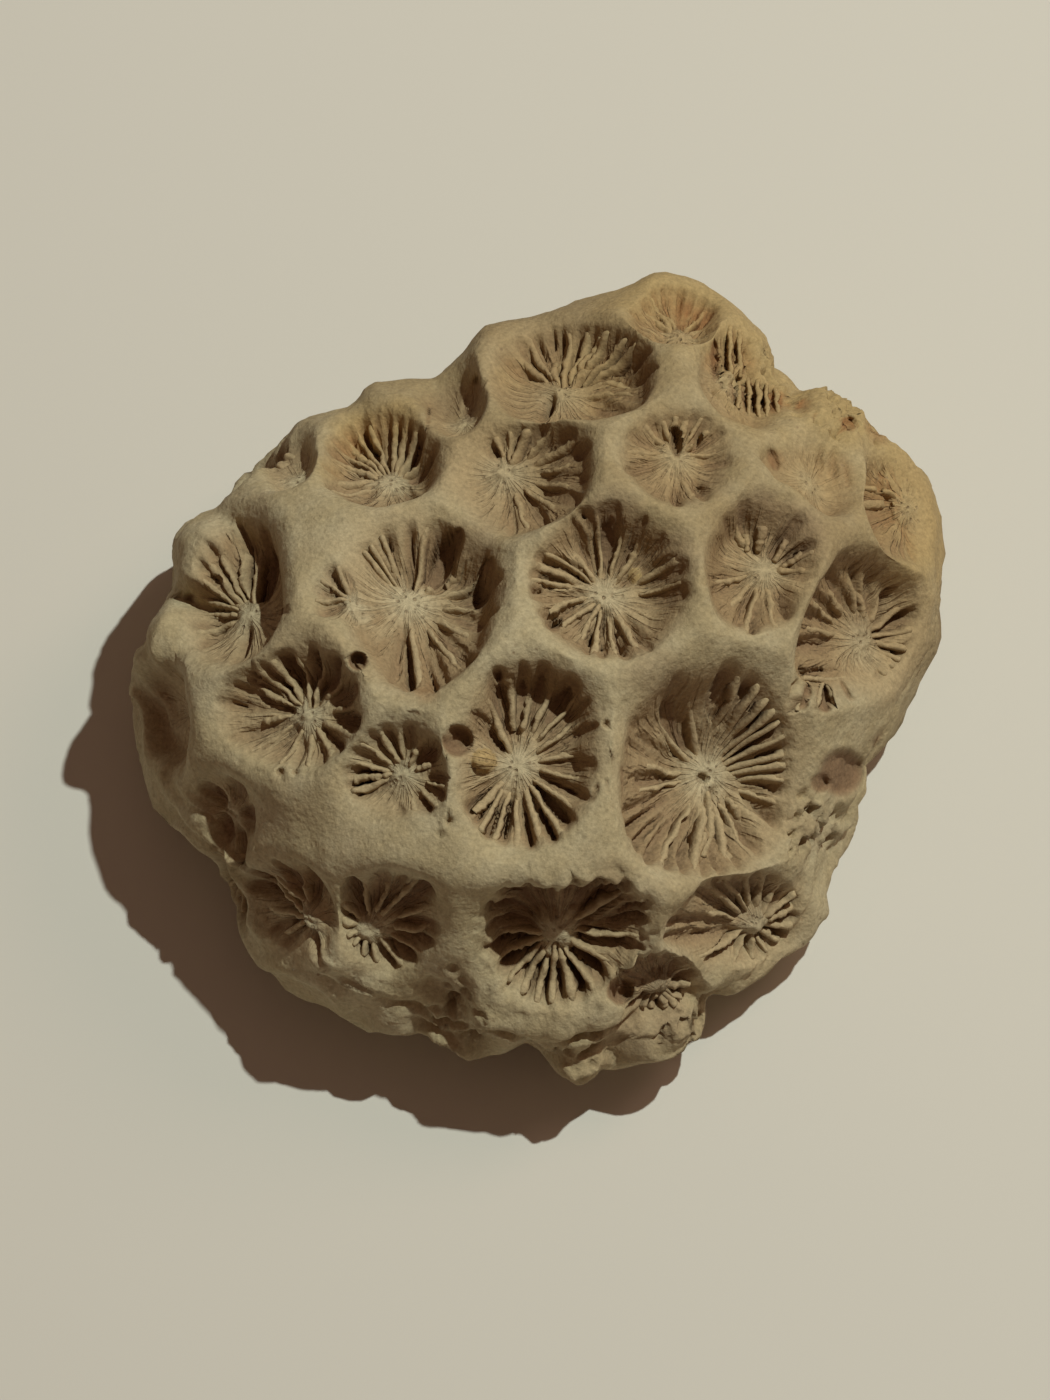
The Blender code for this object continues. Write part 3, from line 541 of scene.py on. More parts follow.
# Bars and thick septa that stand clear: (across, up) at both ends, half width, lift of the ends.
BARS = (
    ((13.15, 18.7), (13.10, 16.2), 0.12, 0.12),
    ((13.68, 18.7), (13.75, 16.1), 0.14, 0.14),
    ((14.25, 18.5), (14.20, 16.2), 0.11, 0.10),
    ((12.55, 18.5), (12.45, 16.7), 0.13, 0.10),
    ((14.80, 18.2), (14.90, 16.2), 0.12, 0.10),
    ((12.0, 21.9), (12.0, 18.8), 0.12, 0.10),
    ((12.55, 21.9), (12.6, 18.7), 0.12, 0.12),
    ((16.2, 0.4), (15.9, -1.7), 0.14, 0.12),
    ((17.6, 0.1), (16.8, -1.9), 0.15, 0.12),
    ((17.7, 0.1), (18.5, -1.9), 0.17, 0.12),
    ((16.1, 0.3), (17.7, 0.1), 0.14, 0.10),
    ((17.6, 0.1), (19.5, 0.3), 0.13, 0.08),
    ((13.75, 9.5), (13.6, 7.7), 0.24, 0.3),
    ((15.3, 8.6), (14.4, 7.2), 0.17, 0.3),
    ((16.2, 7.8), (14.8, 6.8), 0.15, 0.25),
    ((12.7, 9.0), (12.9, 7.8), 0.15, 0.2),
)

# Axes of the growing face: straight out of it, and across and up it as it is seen from there.
FACE_AXIS = np.array([0.0, -math.sin(FACE_TILT), math.cos(FACE_TILT)])
FACE_ACROSS = np.array([1.0, 0.0, 0.0])
FACE_UP = np.array([0.0, math.cos(FACE_TILT), math.sin(FACE_TILT)])

# Section of a cup: it sinks to a share of its radius, most of it down its wall and the rest
# towards its centre, inside a shoulder that rounds the crest. Pairs are for the worn side and for
# the steep side.
DEPTH_SHARE = 0.78
DEPTH_MOST = 4.1
SHOULDER_DEPTH = 0.8
SHOULDER_OUTSIDE = 1.4
SHOULDER_INSIDE = 0.8
WALL_START = (0.75, 1.1)
WALL_SOFTNESS = (0.55, 0.70)
WALL_PART = (0.30, 0.72)
BOWL_POWER = 0.9
STEEP_SECTOR = (-0.5, 0.7)
CREST_SWAY = 0.22
CREST_RIPPLE = 0.10
CREST_EDGE = (-0.1, 0.4)
CREST_STEP = 5
CREST_SMOOTHING = 20
CREST_DIRECTIONS = np.radians(np.arange(0, 360, 45))
FLANK_DIRECTIONS = np.radians(np.arange(-157.5, 180, 45))
FLANK_DEPTH_SHARE = 0.9
FLANK_STEEP_SIDE = (90, 0.7)
STEEP_SIDEWAYS = 0.8
FULL_CUP_RADIUS = 4.6
LEAST_SEPTATE_SHARE = 0.46
BLEND_POWER = 4
CUP_REACH = 1.5
CUP_REACH_MARGIN = 2
FAR_OUTSIDE = -100.0
FAR_AWAY = 99.0
LEAST_DISTANCE = 1e-6
LEAST_LENGTH = 1e-9

# Slots between the septa: each is a soft valley with a steep core, which widens outwards from a
# narrow inner end to a rounded outer end. Even septa keep a thickness of a quarter millimetre.
SEPTUM_THICKNESS = 0.24
EVEN_TURNS = (-0.18, 0.18)
EVEN_STARTS = (0.18, 0.42)
EVEN_ENDS = (0.35, 1.1)
EVEN_THICKNESSES = (0.8, 1.5)
EVEN_SHARES = (0.6, 1.0)
ROOM_AT_START = 0.3
ROOM_AT_END = 0.7
SLOT_WIDTHS = (0.26, 1.25)
SLOT_WIDENING = 0.06
SLOT_INNER_WIDTH = 0.45
SLOT_OUTER_WIDTH = 0.55
SLOT_TAPER = 0.8
SLOT_ROUNDNESS = 5
SLOT_TIP = 0.12
SLOT_EDGE = (-0.05, 0.13)
SLOT_SWAY = 0.04
SLOT_RIPPLE = 0.03
SLOT_FLOOR = 0.9
SLOT_SHARE = 0.72
STEEP_SLOTS = 0.35
SLOT_END_RISE = 0.35
VALLEY_REACH = 0.40
VALLEY_DEPTH = 0.55
VALLEY_START = 0.5
VALLEY_OPENING = 0.5
VALLEY_TIP = -0.12
VALLEY_RUN_OUT = 1.3
VALLEY_ROUNDNESS = 4
VALLEY_RAMP = 0.6
LEAST_RAMP = 0.05
VALLEY_LEAD = 0.25
# Painted shade of the slots: how dark their cores and their valleys are painted.
CORE_SHADE = 0.65
VALLEY_SHADE = 0.35
# Reach of the pale septa colour, with its painted highlight, from the centre out.
SEPTA_SHADE_REACH = (0.95, 0.45)
FLOOR_ROUGHNESS = 0.05
FLOOR_START = (0.3, 1.0)
SPONGE_ROUGHNESS = 0.22
# Band of the cup walls that takes the painted shade of the fine grooves.
STREAK_BAND = (0.1, 1.4)
WORN_STREAKS = 0.4
CENTRE_RADIUS = 1.1
BRIGHT_RADIUS = 1.5
CENTRE_RISE = 0.36
# Depth at which the browning of the hollows, partly painted shade, is full.
FULL_HOLLOW = 3.6

# Worn surface between the cups: the noises that roughen it (detail per millimetre, seed and
# octaves), the depth of each, and what is bored, broken, swollen or lodged in it.
FIELD_SHIFTS = (17.3, -9.1, 5.7)
FIELDS = {
    "broad": (0.20, 4, 2), "sway": (0.45, 1), "ripple": (1.3, 2), "fine": (3.4, 3),
    "sponge": (2.1, 5, 2),
}
BROAD_HEIGHT = 0.38
RIPPLE_HEIGHT = 0.07
FINE_HEIGHT = 0.03
FACE_LEVEL = -2
SWELL_LEVEL = -3
CUT_MARGIN = 0.01
BORED_LEVELS = (3.0, 5.0)
FULL_BORE = 1.8
PIT_LIP = 0.12
PIT_FLOOR = 0.6
SLIT_EDGE = (-0.08, 0.2)
SLIT_ROUNDNESS = 3
BREAK_SWAY = 0.7
BREAK_CORE = 0.35
PORE_PITCH = 0.95
PORE_WIDTH = (0.50, 0.15)
PORE_DEPTH = 1.25
BREAK_LEDGES = 0.55
BREAK_LEDGE_SWAY = 0.6
BREAK_LEDGE_RIPPLE = 0.2
BREAK_LEDGE_DEPTH = 0.5
BREAK_LEDGE_MIDDLE = 0.25
CRUMB_DEPTH = 0.45
CRUMB_GRAIN = 0.25
GRAIN_EDGE = 0.05
LEDGE_DEPTH = 0.4
LEDGE_PITCH = 0.42
LEDGE_BROADNESS = 0.9
LEDGE_SWAY = 0.25
LEDGE_TREAD = (0.1, 0.85)
LEDGE_TOP = (7.5, 3.0)
LEDGE_FOOT = (-3.95, -3.2)

# Septa: thin plates that run between neighbouring slots. A gap between slots that is wider than
# WIDE_GAP stays worn smooth. Their section is a ring of (half widths aside, rise) around the plate.
# Bands along a septum go from 0 at its inner end to 1 at its outer end.
SEPTUM_PIECES = 22
SEPTUM_SECTION = (
    (0.0, 0.03), (0.75, 0.0), (1.1, -0.2), (1.6, -0.9), (-1.6, -0.9), (-1.1, -0.2), (-0.75, 0.0),
)
SEPTUM_KNOTS = 5
SEPTUM_HALF_WIDTHS = (0.13, 0.21)
SEPTUM_INNER_WIDTH = 0.75
SEPTUM_WIDENING = 0.45
SEPTUM_RISE = 0.10
SEPTUM_EVENNESS = (0.4, 1.25)
SEPTUM_STRAY = (-0.06, 0.06)
SEPTUM_STARTS = (0.35, 0.8)
SEPTUM_RUN_OUT = 1.1
SEPTUM_RUN_OUTS = (0.4, 1.0)
BROKEN_SEPTA = 0.18
BROKEN_LENGTHS = (0.6, 0.85)
SAME_SLOT_GAP = math.radians(9)
WIDE_GAP = math.radians(48)
RAGGED_CREST = 0.32
RAGGED_SECTOR = 0.35
SEPTUM_SINK = 0.3
SEPTUM_INNER_FADE = (0.0, 0.2)
SEPTUM_OUTER_FADE = (1.0, 0.6)
STEEP_SINK = 0.32
STEEP_PART = (0.3, 0.8)
# Painted shade: the outer parts of septa on a cup's steep, shaded side lose this share of their
# pale colour.
STEEP_SHADE = 0.75
CREST_SINK = 0.5
CREST_SINK_BAND = (0.35, -0.1)
CREST_DIVE = 2.5
CREST_DIVE_BAND = (0.1, -0.5)
PIT_DIVE = 3.0
PIT_DIVE_DEPTH = (0.0, 0.2)
LOWEST_SEPTUM = 0.02
# Painted highlight and shade: the septa's tops take their pale colour, their sides and feet do not,
# and their feet are darkened like the slots.
TOP_SHADE = (-0.5, 0.0)
FOOT_SHADE = 0.8
FOOT_SHADE_BAND = (-0.1, -0.8)
EDGE_PHASES = (0, 100)
EDGE_WAVES = 0.9
TOOTH_ROW = 7.0
TOOTH_PITCH = 0.42
TOOTH_DETAIL = 1.6
TOOTH_HEIGHT = 0.12
TOOTH_THICKNESS = 0.5
WAVE_THICKNESS = 0.4
WAVE_STRAY = 0.16
TOOTH_STRAY = 0.05
BAR_INNER_FADE = (0.0, 0.15)
BAR_OUTER_FADE = (1.0, 0.85)
BAR_SINK = 0.1
BAR_TOOTH_THICKNESS = 0.06
BAR_WAVE_THICKNESS = 0.05
BAR_STRAY = 0.12
SEAT_REACH = 2.6
SEAT_STEPS = 27

# Masks that every point of the head keeps from its cup, and those that a septum keeps.
CUP_MASKS = ("slot", "septa", "centre")
SEPTUM_MASKS = ("hollow_stain_and_shade", "dirt_and_shade", "yellow", "rust", "tan", "septa")

# Fineness of the mesh: the ball, then extra cuts in wide cups, in the other cups and on the walls.
BALL_SUBDIVISIONS = 6
WIDE_CUP_RADIUS = 4.4
WIDE_CUP_CUTS = 4
CUP_CUTS = 4
BREAK_CUTS = 3
FLANK_CUP_CUTS = 2
WALL_CUTS = 1
CUP_MARGIN = 0.5
WALL_MARGIN = 3.2

# Landing on the dome along the face axis: distance of the start, coarse steps and halvings. Then
# the steps from a cup's plane back to the dome, and the reach over which its slope is taken.
LANDING_START = 60
LANDING_STEPS = 120
LANDING_HALVINGS = 24
DOME_STEPS = 6
NORMAL_REACH = 1.2

# Seeds of the random draws for the even slots and for the septa.
CUP_SEED = 11
SEPTA_SEED = 23


def smooth_step(low, high, value):
    """Share from 0 at low to 1 at high, eased at both ends."""
    share = np.clip((value - low) / (high - low), 0, 1)
    return share * share * (3 - 2 * share)


def field(points, scale, seed, octaves=1):
    """Smooth noise from about -1 to 1 at each point; scale is its detail per millimetre."""
    shift = Vector([seed * step for step in FIELD_SHIFTS])
    return np.array([
        noise.fractal(Vector(point) * scale + shift, 1.0, 2.0, octaves) for point in points
    ])


def plain_dome_radius(directions):
    """Distance from the middle of the rim to the dome before its outline is applied."""
    level = np.hypot(directions[..., 0], directions[..., 1]) / DOME_RADIUS
    rise = directions[..., 2]
    crown = level ** CROWN_ROUNDNESS + (np.abs(rise) / CROWN_HEIGHT) ** CROWN_ROUNDNESS
    undercut = level ** UNDERCUT_ROUNDNESS + (np.abs(rise) / UNDERCUT_HEIGHT) ** UNDERCUT_ROUNDNESS
    above = crown ** (-1 / CROWN_ROUNDNESS)
    below = undercut ** (-1 / UNDERCUT_ROUNDNESS)
    return np.where(rise > 0, above, below)


def outline_shares():
    """Share of the plain dome's outline that the real outline takes, all around the face axis."""
    angles = np.radians(np.arange(0, 360, OUTLINE_STEP))
    heights = np.radians(np.arange(-OUTLINE_HEIGHT, OUTLINE_HEIGHT + 1, OUTLINE_STEP))
    around, above = np.meshgrid(angles, heights, indexing="ij")
    directions = (
        (np.cos(above) * np.cos(around))[..., None] * FACE_ACROSS
        + (np.cos(above) * np.sin(around))[..., None] * FACE_UP
        + np.sin(above)[..., None] * FACE_AXIS
    )
    plain = (plain_dome_radius(directions) * np.cos(above)).max(axis=1)
    points = np.array(OUTLINE)
    point_angles = np.arctan2(points[:, 1], points[:, 0])
    reach = np.hypot(points[:, 0], points[:, 1])
    return angles, np.interp(angles, point_angles, reach, period=2 * math.pi) / plain


OUTLINE_ANGLES, OUTLINE_SHARES = outline_shares()


def heading(azimuth, height):
    """Unit vector towards an azimuth and a height, both in degrees."""
    turn = math.radians(azimuth)
    lift = math.radians(height)
    return np.array([
        math.cos(turn) * math.cos(lift), math.sin(turn) * math.cos(lift), math.sin(lift),
    ])


def dome_radius(directions):
    """Distance from the middle of the rim to the dome's surface, in millimetres."""
    across = directions @ FACE_ACROSS
    up = directions @ FACE_UP
    out = directions @ FACE_AXIS
    angles = np.arctan2(up, across)
    sharp = np.interp(angles, OUTLINE_ANGLES, OUTLINE_SHARES, period=2 * math.pi)
    taps = np.linspace(-OUTLINE_SMOOTHING, OUTLINE_SMOOTHING, OUTLINE_TAPS)
    soft = np.mean([
        np.interp(angles + tap, OUTLINE_ANGLES, OUTLINE_SHARES, period=2 * math.pi) for tap in taps
    ], axis=0)
    edge = np.exp(-((out / OUTLINE_BAND) ** 2))
    inward = np.clip(np.hypot(across, up) / AXIS_BLEND, 0, 1) ** 2
    share = soft + (sharp - soft) * edge
    lumps = sum(
        rise * np.exp((directions @ heading(*place) - 1) / (1 - math.cos(math.radians(spread))))
        for place, spread, rise in LUMPS
    )
    return plain_dome_radius(directions) * (1 + (share - 1) * inward) + lumps


def height_outside(points):
    """Positive outside the dome, negative inside it."""
    distance = np.linalg.norm(points, axis=-1)
    return distance - dome_radius(points / distance[..., None])


def land_on_face(across, up):
    """Points of the growing face at places of its layout, and whether each one is met."""
    starts = (
        np.multiply.outer(np.atleast_1d(across), FACE_ACROSS)
        + np.multiply.outer(np.atleast_1d(up), FACE_UP)
        + LANDING_START * FACE_AXIS
    )
    steps = np.linspace(0, 2 * LANDING_START, LANDING_STEPS)
    trail = starts[:, None, :] - steps[None, :, None] * FACE_AXIS
    inside = height_outside(trail) < 0
    first = np.argmax(inside, axis=1)
    high = steps[first]
    low = steps[np.maximum(first - 1, 0)]
    for _ in range(LANDING_HALVINGS):
        middle = (low + high) / 2
        is_inside = height_outside(starts - middle[:, None] * FACE_AXIS) < 0
        high = np.where(is_inside, middle, high)
        low = np.where(is_inside, low, middle)
    return starts - high[:, None] * FACE_AXIS, inside.any(axis=1)


def normal_at(point):
    """Outward direction of the dome at a point."""
    offsets = np.eye(3) * NORMAL_REACH
    slope = height_outside(point + offsets) - height_outside(point - offsets)
    return slope / np.linalg.norm(slope)


def even_slots(radii_at, septa, rng):
    """Slots of a cup with even septa: direction, inner end, outer end, width and depth share."""
    pitch = 2 * math.pi / max(septa, 1)
    first = rng.uniform(0, pitch)
    slots = []
    for number in range(septa):
        turn = first + pitch * (number + rng.uniform(*EVEN_TURNS))
        crest = radii_at(turn)
        end = crest - rng.uniform(*EVEN_ENDS) * math.sqrt(crest / FULL_CUP_RADIUS)
        start = crest * rng.uniform(*EVEN_STARTS)
        room = pitch * (ROOM_AT_START * start + ROOM_AT_END * end)
        room -= SEPTUM_THICKNESS * rng.uniform(*EVEN_THICKNESSES)
        width = float(np.clip(room, *SLOT_WIDTHS))
        slots.append((turn, start, end, width, rng.uniform(*EVEN_SHARES)))
    return slots


class Cup:
    """One cup: its middle, its frame on the dome, its crest outline and its slots."""

    def __init__(self, middle, frame, crest_angles, crest_radii, depth_share, steep_side):
        self.middle = middle
        self.steep_turn = math.radians(steep_side[0])
        self.steepness = steep_side[1]
        self.raggedness = steep_side[2] if len(steep_side) > 2 else 0.0
        self.sideways, self.onward, self.outward = frame
        self.table_angles = np.radians(np.arange(0, 360, CREST_STEP))
        turns = np.radians(np.arange(-CREST_SMOOTHING, CREST_SMOOTHING + 1, CREST_STEP))
        self.table_radii = np.mean([
            np.interp(self.table_angles + turn, crest_angles, crest_radii, period=2 * math.pi)
            for turn in turns
        ], axis=0)
        self.radius = float(self.table_radii.mean())
        self.size = math.sqrt(self.radius / FULL_CUP_RADIUS)
        self.has_septa = depth_share > LEAST_SEPTATE_SHARE
        self.depth = min(DEPTH_SHARE * self.radius, DEPTH_MOST) * depth_share
        self.centre = np.zeros(2)
        self.slots = []

    def crest_at(self, turn):
        """Distance from the middle to the crest in a direction."""
        return np.interp(turn, self.table_angles, self.table_radii, period=2 * math.pi)

    def cut_slots(self, slots):
        """Keep slots given as direction, inner end, outer end, width and share in the cup."""
        for turn, start, end, width, share in slots:
            toward = np.array([math.cos(turn), math.sin(turn)])
            self.slots.append((toward * start, toward * end, width, share))

    def cut_seen_slots(self, centre, slots):
        """Keep the cup's centre and slots, which are given as seen along the face axis."""
        view = np.array([FACE_ACROSS, FACE_UP])
        to_view = view @ np.array([self.sideways, self.onward]).T
        from_view = np.linalg.inv(to_view)
        lean = view @ self.outward
        bottom = view @ self.middle - self.depth * lean
        self.centre = from_view @ (np.array(centre) - bottom)
        for turn, start, end, width, share in slots:
            turn = math.radians(turn)
            toward = np.array([math.cos(turn), math.sin(turn)])
            rise = SLOT_END_RISE * self.depth
            inner = self.centre + from_view @ (toward * start)
            outer = self.centre + from_view @ (toward * end - rise * lean)
            self.slots.append((inner, outer, width, share))

    def place(self, points):
        """Place across the cup, crest radius and distance inside the crest."""
        offset = points - self.middle
        x = offset @ self.sideways
        y = offset @ self.onward
        rise = offset @ self.outward
        crest = self.crest_at(np.arctan2(y, x))
        inside = crest - np.hypot(x, y)
        inside = np.where(np.abs(rise) > 2 * self.radius, FAR_OUTSIDE, inside)
        return x, y, crest, inside


def face_cup(centre, radii, spongy_centre, depth_share, steep_side, slots, rng):
    """A cup of the growing face, from its row of the table."""
    middle = land_on_face(centre[0], centre[1])[0][0]
    crest, met = land_on_face(
        centre[0] + np.array(radii) * np.cos(CREST_DIRECTIONS),
        centre[1] + np.array(radii) * np.sin(CREST_DIRECTIONS),
    )
    outward = normal_at(middle)
    reference = FACE_ACROSS if abs(outward[0]) < STEEP_SIDEWAYS else FACE_UP
    sideways = reference - outward * (reference @ outward)
    sideways /= np.linalg.norm(sideways)
    frame_axes = (sideways, np.cross(outward, sideways), outward)
    flat = (crest - middle) @ np.array(frame_axes).T
    crest_angles = np.arctan2(flat[:, 1], flat[:, 0])[met]
    crest_radii = np.hypot(flat[:, 0], flat[:, 1])[met]
    cup = Cup(middle, frame_axes, crest_angles, crest_radii, depth_share, steep_side)
    if isinstance(slots, int):
        cup.cut_slots(even_slots(cup.crest_at, slots, rng))
    else:
        cup.cut_seen_slots(spongy_centre, slots)
    return cup


def flank_cup(place, half_width, half_height, septa, rng):
    """An oval cup of the flanks, from its row of the table."""
    direction = heading(*place)
    middle = direction * dome_radius(direction)
    outward = normal_at(middle)
    sideways = np.cross(outward, (0, 0, 1))
    sideways /= np.linalg.norm(sideways)
    frame_axes = (sideways, np.cross(outward, sideways), outward)
    radii = 1 / np.hypot(
        np.cos(FLANK_DIRECTIONS) / half_width, np.sin(FLANK_DIRECTIONS) / half_height)
    cup = Cup(middle, frame_axes, FLANK_DIRECTIONS, radii, FLANK_DEPTH_SHARE, FLANK_STEEP_SIDE)
    cup.cut_slots(even_slots(cup.crest_at, septa, rng))
    return cup


def reach_of_cups(cups):
    """Function that gives how far inside the crest of the nearest of the cups each point lies."""
    return lambda places: np.max([cup.place(places)[3] for cup in cups], axis=0)


def reach_of_breaks(places):
    """How far inside the nearest broken or bored place each point lies."""
    return np.max([
        radius - face_distance(places, across, up) for (across, up), radius, _ in BREAKS + PITS
    ], axis=0)


def make_ball(face_cups, flank_cups):
    """A ball of triangles, cut finer where the cups and the broken places will be."""
    shape = bmesh.new()
    bmesh.ops.create_icosphere(shape, subdivisions=BALL_SUBDIVISIONS, radius=1)
    for face in shape.faces:
        face.tag = True
    wide_cups = [cup for cup in face_cups if cup.radius > WIDE_CUP_RADIUS]
    narrow_cups = [cup for cup in face_cups if cup.radius <= WIDE_CUP_RADIUS]
    passes = (
        (reach_of_cups(wide_cups), WIDE_CUP_CUTS, CUP_MARGIN),
        (reach_of_cups(narrow_cups), CUP_CUTS, CUP_MARGIN),
        (reach_of_breaks, BREAK_CUTS, CUP_MARGIN),
        (reach_of_cups(flank_cups), FLANK_CUP_CUTS, CUP_MARGIN),
        (reach_of_cups(face_cups + flank_cups), WALL_CUTS, WALL_MARGIN),
    )
    whole_edge = max(edge.calc_length() for edge in shape.edges)
    for reach_at, cuts, margin in passes:
        whole = [face for face in shape.faces if face.tag and len(face.verts) == 3]
        directions = np.array([face.calc_center_median().normalized() for face in whole])
        places = directions * dome_radius(directions)[:, None]
        inside = reach_at(places)
        edges = set()
        for face, reach in zip(whole, inside):
            if reach > -margin:
                edges.update(edge for edge in face.edges if edge.calc_length() > whole_edge / 2)
        made = bmesh.ops.subdivide_edges(shape, edges=list(edges), cuts=cuts, use_grid_fill=True)
        for item in made["geom_inner"] + made["geom_split"]:
            if isinstance(item, bmesh.types.BMFace):
                item.tag = False
    bmesh.ops.triangulate(shape, faces=shape.faces[:])
    return shape


def slot_cover(cup, x, y, bend):
    """How far each point lies in a slot's steep core, and in the soft valley around it."""
    core = np.zeros(len(x))
    valley = np.zeros(len(x))
    for inner, outer, width, share in cup.slots:
        run = outer - inner
        length = math.hypot(*run)
        toward = run / length
        along = (x - inner[0]) * toward[0] + (y - inner[1]) * toward[1]
        aside = np.abs((y - inner[1]) * toward[0] - (x - inner[0]) * toward[1] + bend)
        body = np.clip(along / length, 0, 1)
        half_width = (width + SLOT_WIDENING) / 2 * np.sqrt(1 - body ** SLOT_ROUNDNESS)
        half_width *= SLOT_INNER_WIDTH + SLOT_OUTER_WIDTH * body ** SLOT_TAPER
        half_width *= smooth_step(0, SLOT_TIP, body)
        in_core = share * smooth_step(*SLOT_EDGE, half_width - aside)
        core = np.maximum(core, np.where((body > 0) & (body < 1), in_core, 0))
        lead = VALLEY_START * math.hypot(*(inner - cup.centre))
        whole = lead + length + VALLEY_RUN_OUT
        reach = np.clip((along + lead) / whole, 0, 1)
        widening = smooth_step(VALLEY_TIP, (lead + VALLEY_OPENING) / whole, reach)
        half_valley = (width / 2 + VALLEY_REACH) * np.sqrt(1 - reach ** VALLEY_ROUNDNESS) * widening
        ramp = np.minimum(VALLEY_REACH, VALLEY_RAMP * half_valley + LEAST_RAMP)
        in_valley = smooth_step(0, 1, (half_valley - aside) / ramp) * (reach > 0)
        in_valley *= share ** 0.5 * smooth_step(0, VALLEY_LEAD, reach)
        valley = np.maximum(valley, in_valley)
    return core, valley


def cup_section(cup, points, fields):
    """Place of each point in the cup, and the depth there of a cup without septa."""
    x, y, crest, inside = cup.place(points)
    size = cup.size
    ripple = CREST_RIPPLE + cup.raggedness
    inside = inside + CREST_SWAY * fields["sway"] + ripple * fields["ripple"]
    toward_steep = np.cos(np.arctan2(y, x) - cup.steep_turn)
    steep = smooth_step(*STEEP_SECTOR, toward_steep) * cup.steepness
    start, softness, part = (
        low + (high - low) * steep for low, high in (WALL_START, WALL_SOFTNESS, WALL_PART)
    )
    shoulder = smooth_step(-SHOULDER_OUTSIDE * size, SHOULDER_INSIDE, inside)
    wall = 0.5 * (1 + np.tanh((inside / size - start) / softness))
    bowl = np.clip(inside / crest, 0, 1) ** BOWL_POWER
    below = cup.depth - SHOULDER_DEPTH * size
    top = SHOULDER_DEPTH * size * shoulder + below * (part * wall + (1 - part) * bowl)
    from_centre = np.hypot(x - cup.centre[0], y - cup.centre[1])
    middle = np.exp(-((from_centre / (CENTRE_RADIUS * size)) ** 2))
    top -= middle * CENTRE_RISE * size
    top = np.where(inside < -SHOULDER_OUTSIDE * size, 0, top)
    return x, y, crest, inside, middle, top, steep


def sink_cup(cup, points, fields):
    """Depth of one cup below the dome at each point, its masks, and how its streaks run."""
    x, y, crest, inside, middle, top, steep = cup_section(cup, points, fields)
    bend = SLOT_SWAY * fields["sway"] + SLOT_RIPPLE * fields["ripple"]
    core, valley = slot_cover(cup, x, y, bend)
    edge = smooth_step(*CREST_EDGE, inside)
    core = core * edge
    valley = valley * edge
    floor = cup.depth + SLOT_FLOOR * cup.size
    rough = FLOOR_ROUGHNESS * fields["fine"] * smooth_step(*FLOOR_START, inside) * (1 - core)
    sponge = SPONGE_ROUGHNESS * fields["sponge"] * middle * (1 - core)
    cut = SLOT_SHARE * (1 - STEEP_SLOTS * steep) * core * np.maximum(floor - top, 0)
    depth = top + np.maximum(VALLEY_DEPTH * cup.size * valley, cut) - sponge + rough
    from_centre = np.hypot(x - cup.centre[0], y - cup.centre[1])
    # Pale land between the valleys towards the centre: paler septa, with painted highlight on their
    # tops.
    septa = (1 - valley) * smooth_step(*SEPTA_SHADE_REACH, from_centre / crest)
    bright = np.exp(-((from_centre / (BRIGHT_RADIUS * cup.size)) ** 2)) * (1 - core)
    radial = np.stack([x - cup.centre[0], y - cup.centre[1], from_centre], axis=1)
    radial[:, :2] /= np.maximum(from_centre, LEAST_DISTANCE)[:, None]
    wall = smooth_step(*STREAK_BAND, inside) * (1 - middle)
    wall *= 1.0 if cup.has_septa and cup.slots else WORN_STREAKS
    # The slot mask is painted shade: the cores and valleys of the slots are darkened in colour.
    masks = {"slot": CORE_SHADE * core + VALLEY_SHADE * valley, "septa": septa, "centre": bright}
    return np.where(top == 0, 0, depth), masks, radial, wall


def sink_cups(points, directions, cups, fields):
    """Depth and axis of the cups at every point, with the masks that the colours follow."""
    total = np.zeros(len(points))
    axis = np.zeros(points.shape)
    masks = {name: np.zeros(len(points)) for name in CUP_MASKS}
    masks["wall"] = np.zeros(len(points))
    masks["radial"] = np.zeros((len(points), 3))
    for cup in cups:
        reach = CUP_REACH * cup.table_radii.max() + CUP_REACH_MARGIN
        near = np.linalg.norm(points - cup.middle, axis=1) < reach
        near &= directions @ cup.outward > 0
        near = np.flatnonzero(near)
        near_fields = {name: values[near] for name, values in fields.items()}
        depth, cup_masks, radial, wall = sink_cup(cup, points[near], near_fields)
        ahead = wall > masks["wall"][near]
        masks["radial"][near[ahead]] = radial[ahead]
        masks["wall"][near] = np.maximum(masks["wall"][near], wall)
        weight = np.maximum(depth, 0) ** BLEND_POWER
        total[near] += weight
        axis[near] += weight[:, None] * cup.outward
        for name, values in cup_masks.items():
            masks[name][near] = np.maximum(masks[name][near], values)
    depth = total ** (1 / BLEND_POWER)
    length = np.linalg.norm(axis, axis=1)
    whole = np.maximum(length, LEAST_LENGTH)[:, None]
    axis = np.where(length[:, None] > LEAST_LENGTH, axis / whole, directions)
    return depth, axis, masks


def face_distance(points, across, up):
    """Distance of points of the growing face from a place of its layout."""
    distance = np.hypot(points @ FACE_ACROSS - across, points @ FACE_UP - up)
    return np.where(points @ FACE_AXIS > FACE_LEVEL, distance, FAR_AWAY)


def segment_distance(points, start, end):
    """Distance of points from a line between two places of the face's layout."""
    across = points @ FACE_ACROSS - start[0]
    up = points @ FACE_UP - start[1]
    run_x, run_y = end[0] - start[0], end[1] - start[1]
    along = (across * run_x + up * run_y) / (run_x ** 2 + run_y ** 2)
    along = np.clip(along, 0, 1)
    return np.hypot(across - along * run_x, up - along * run_y)


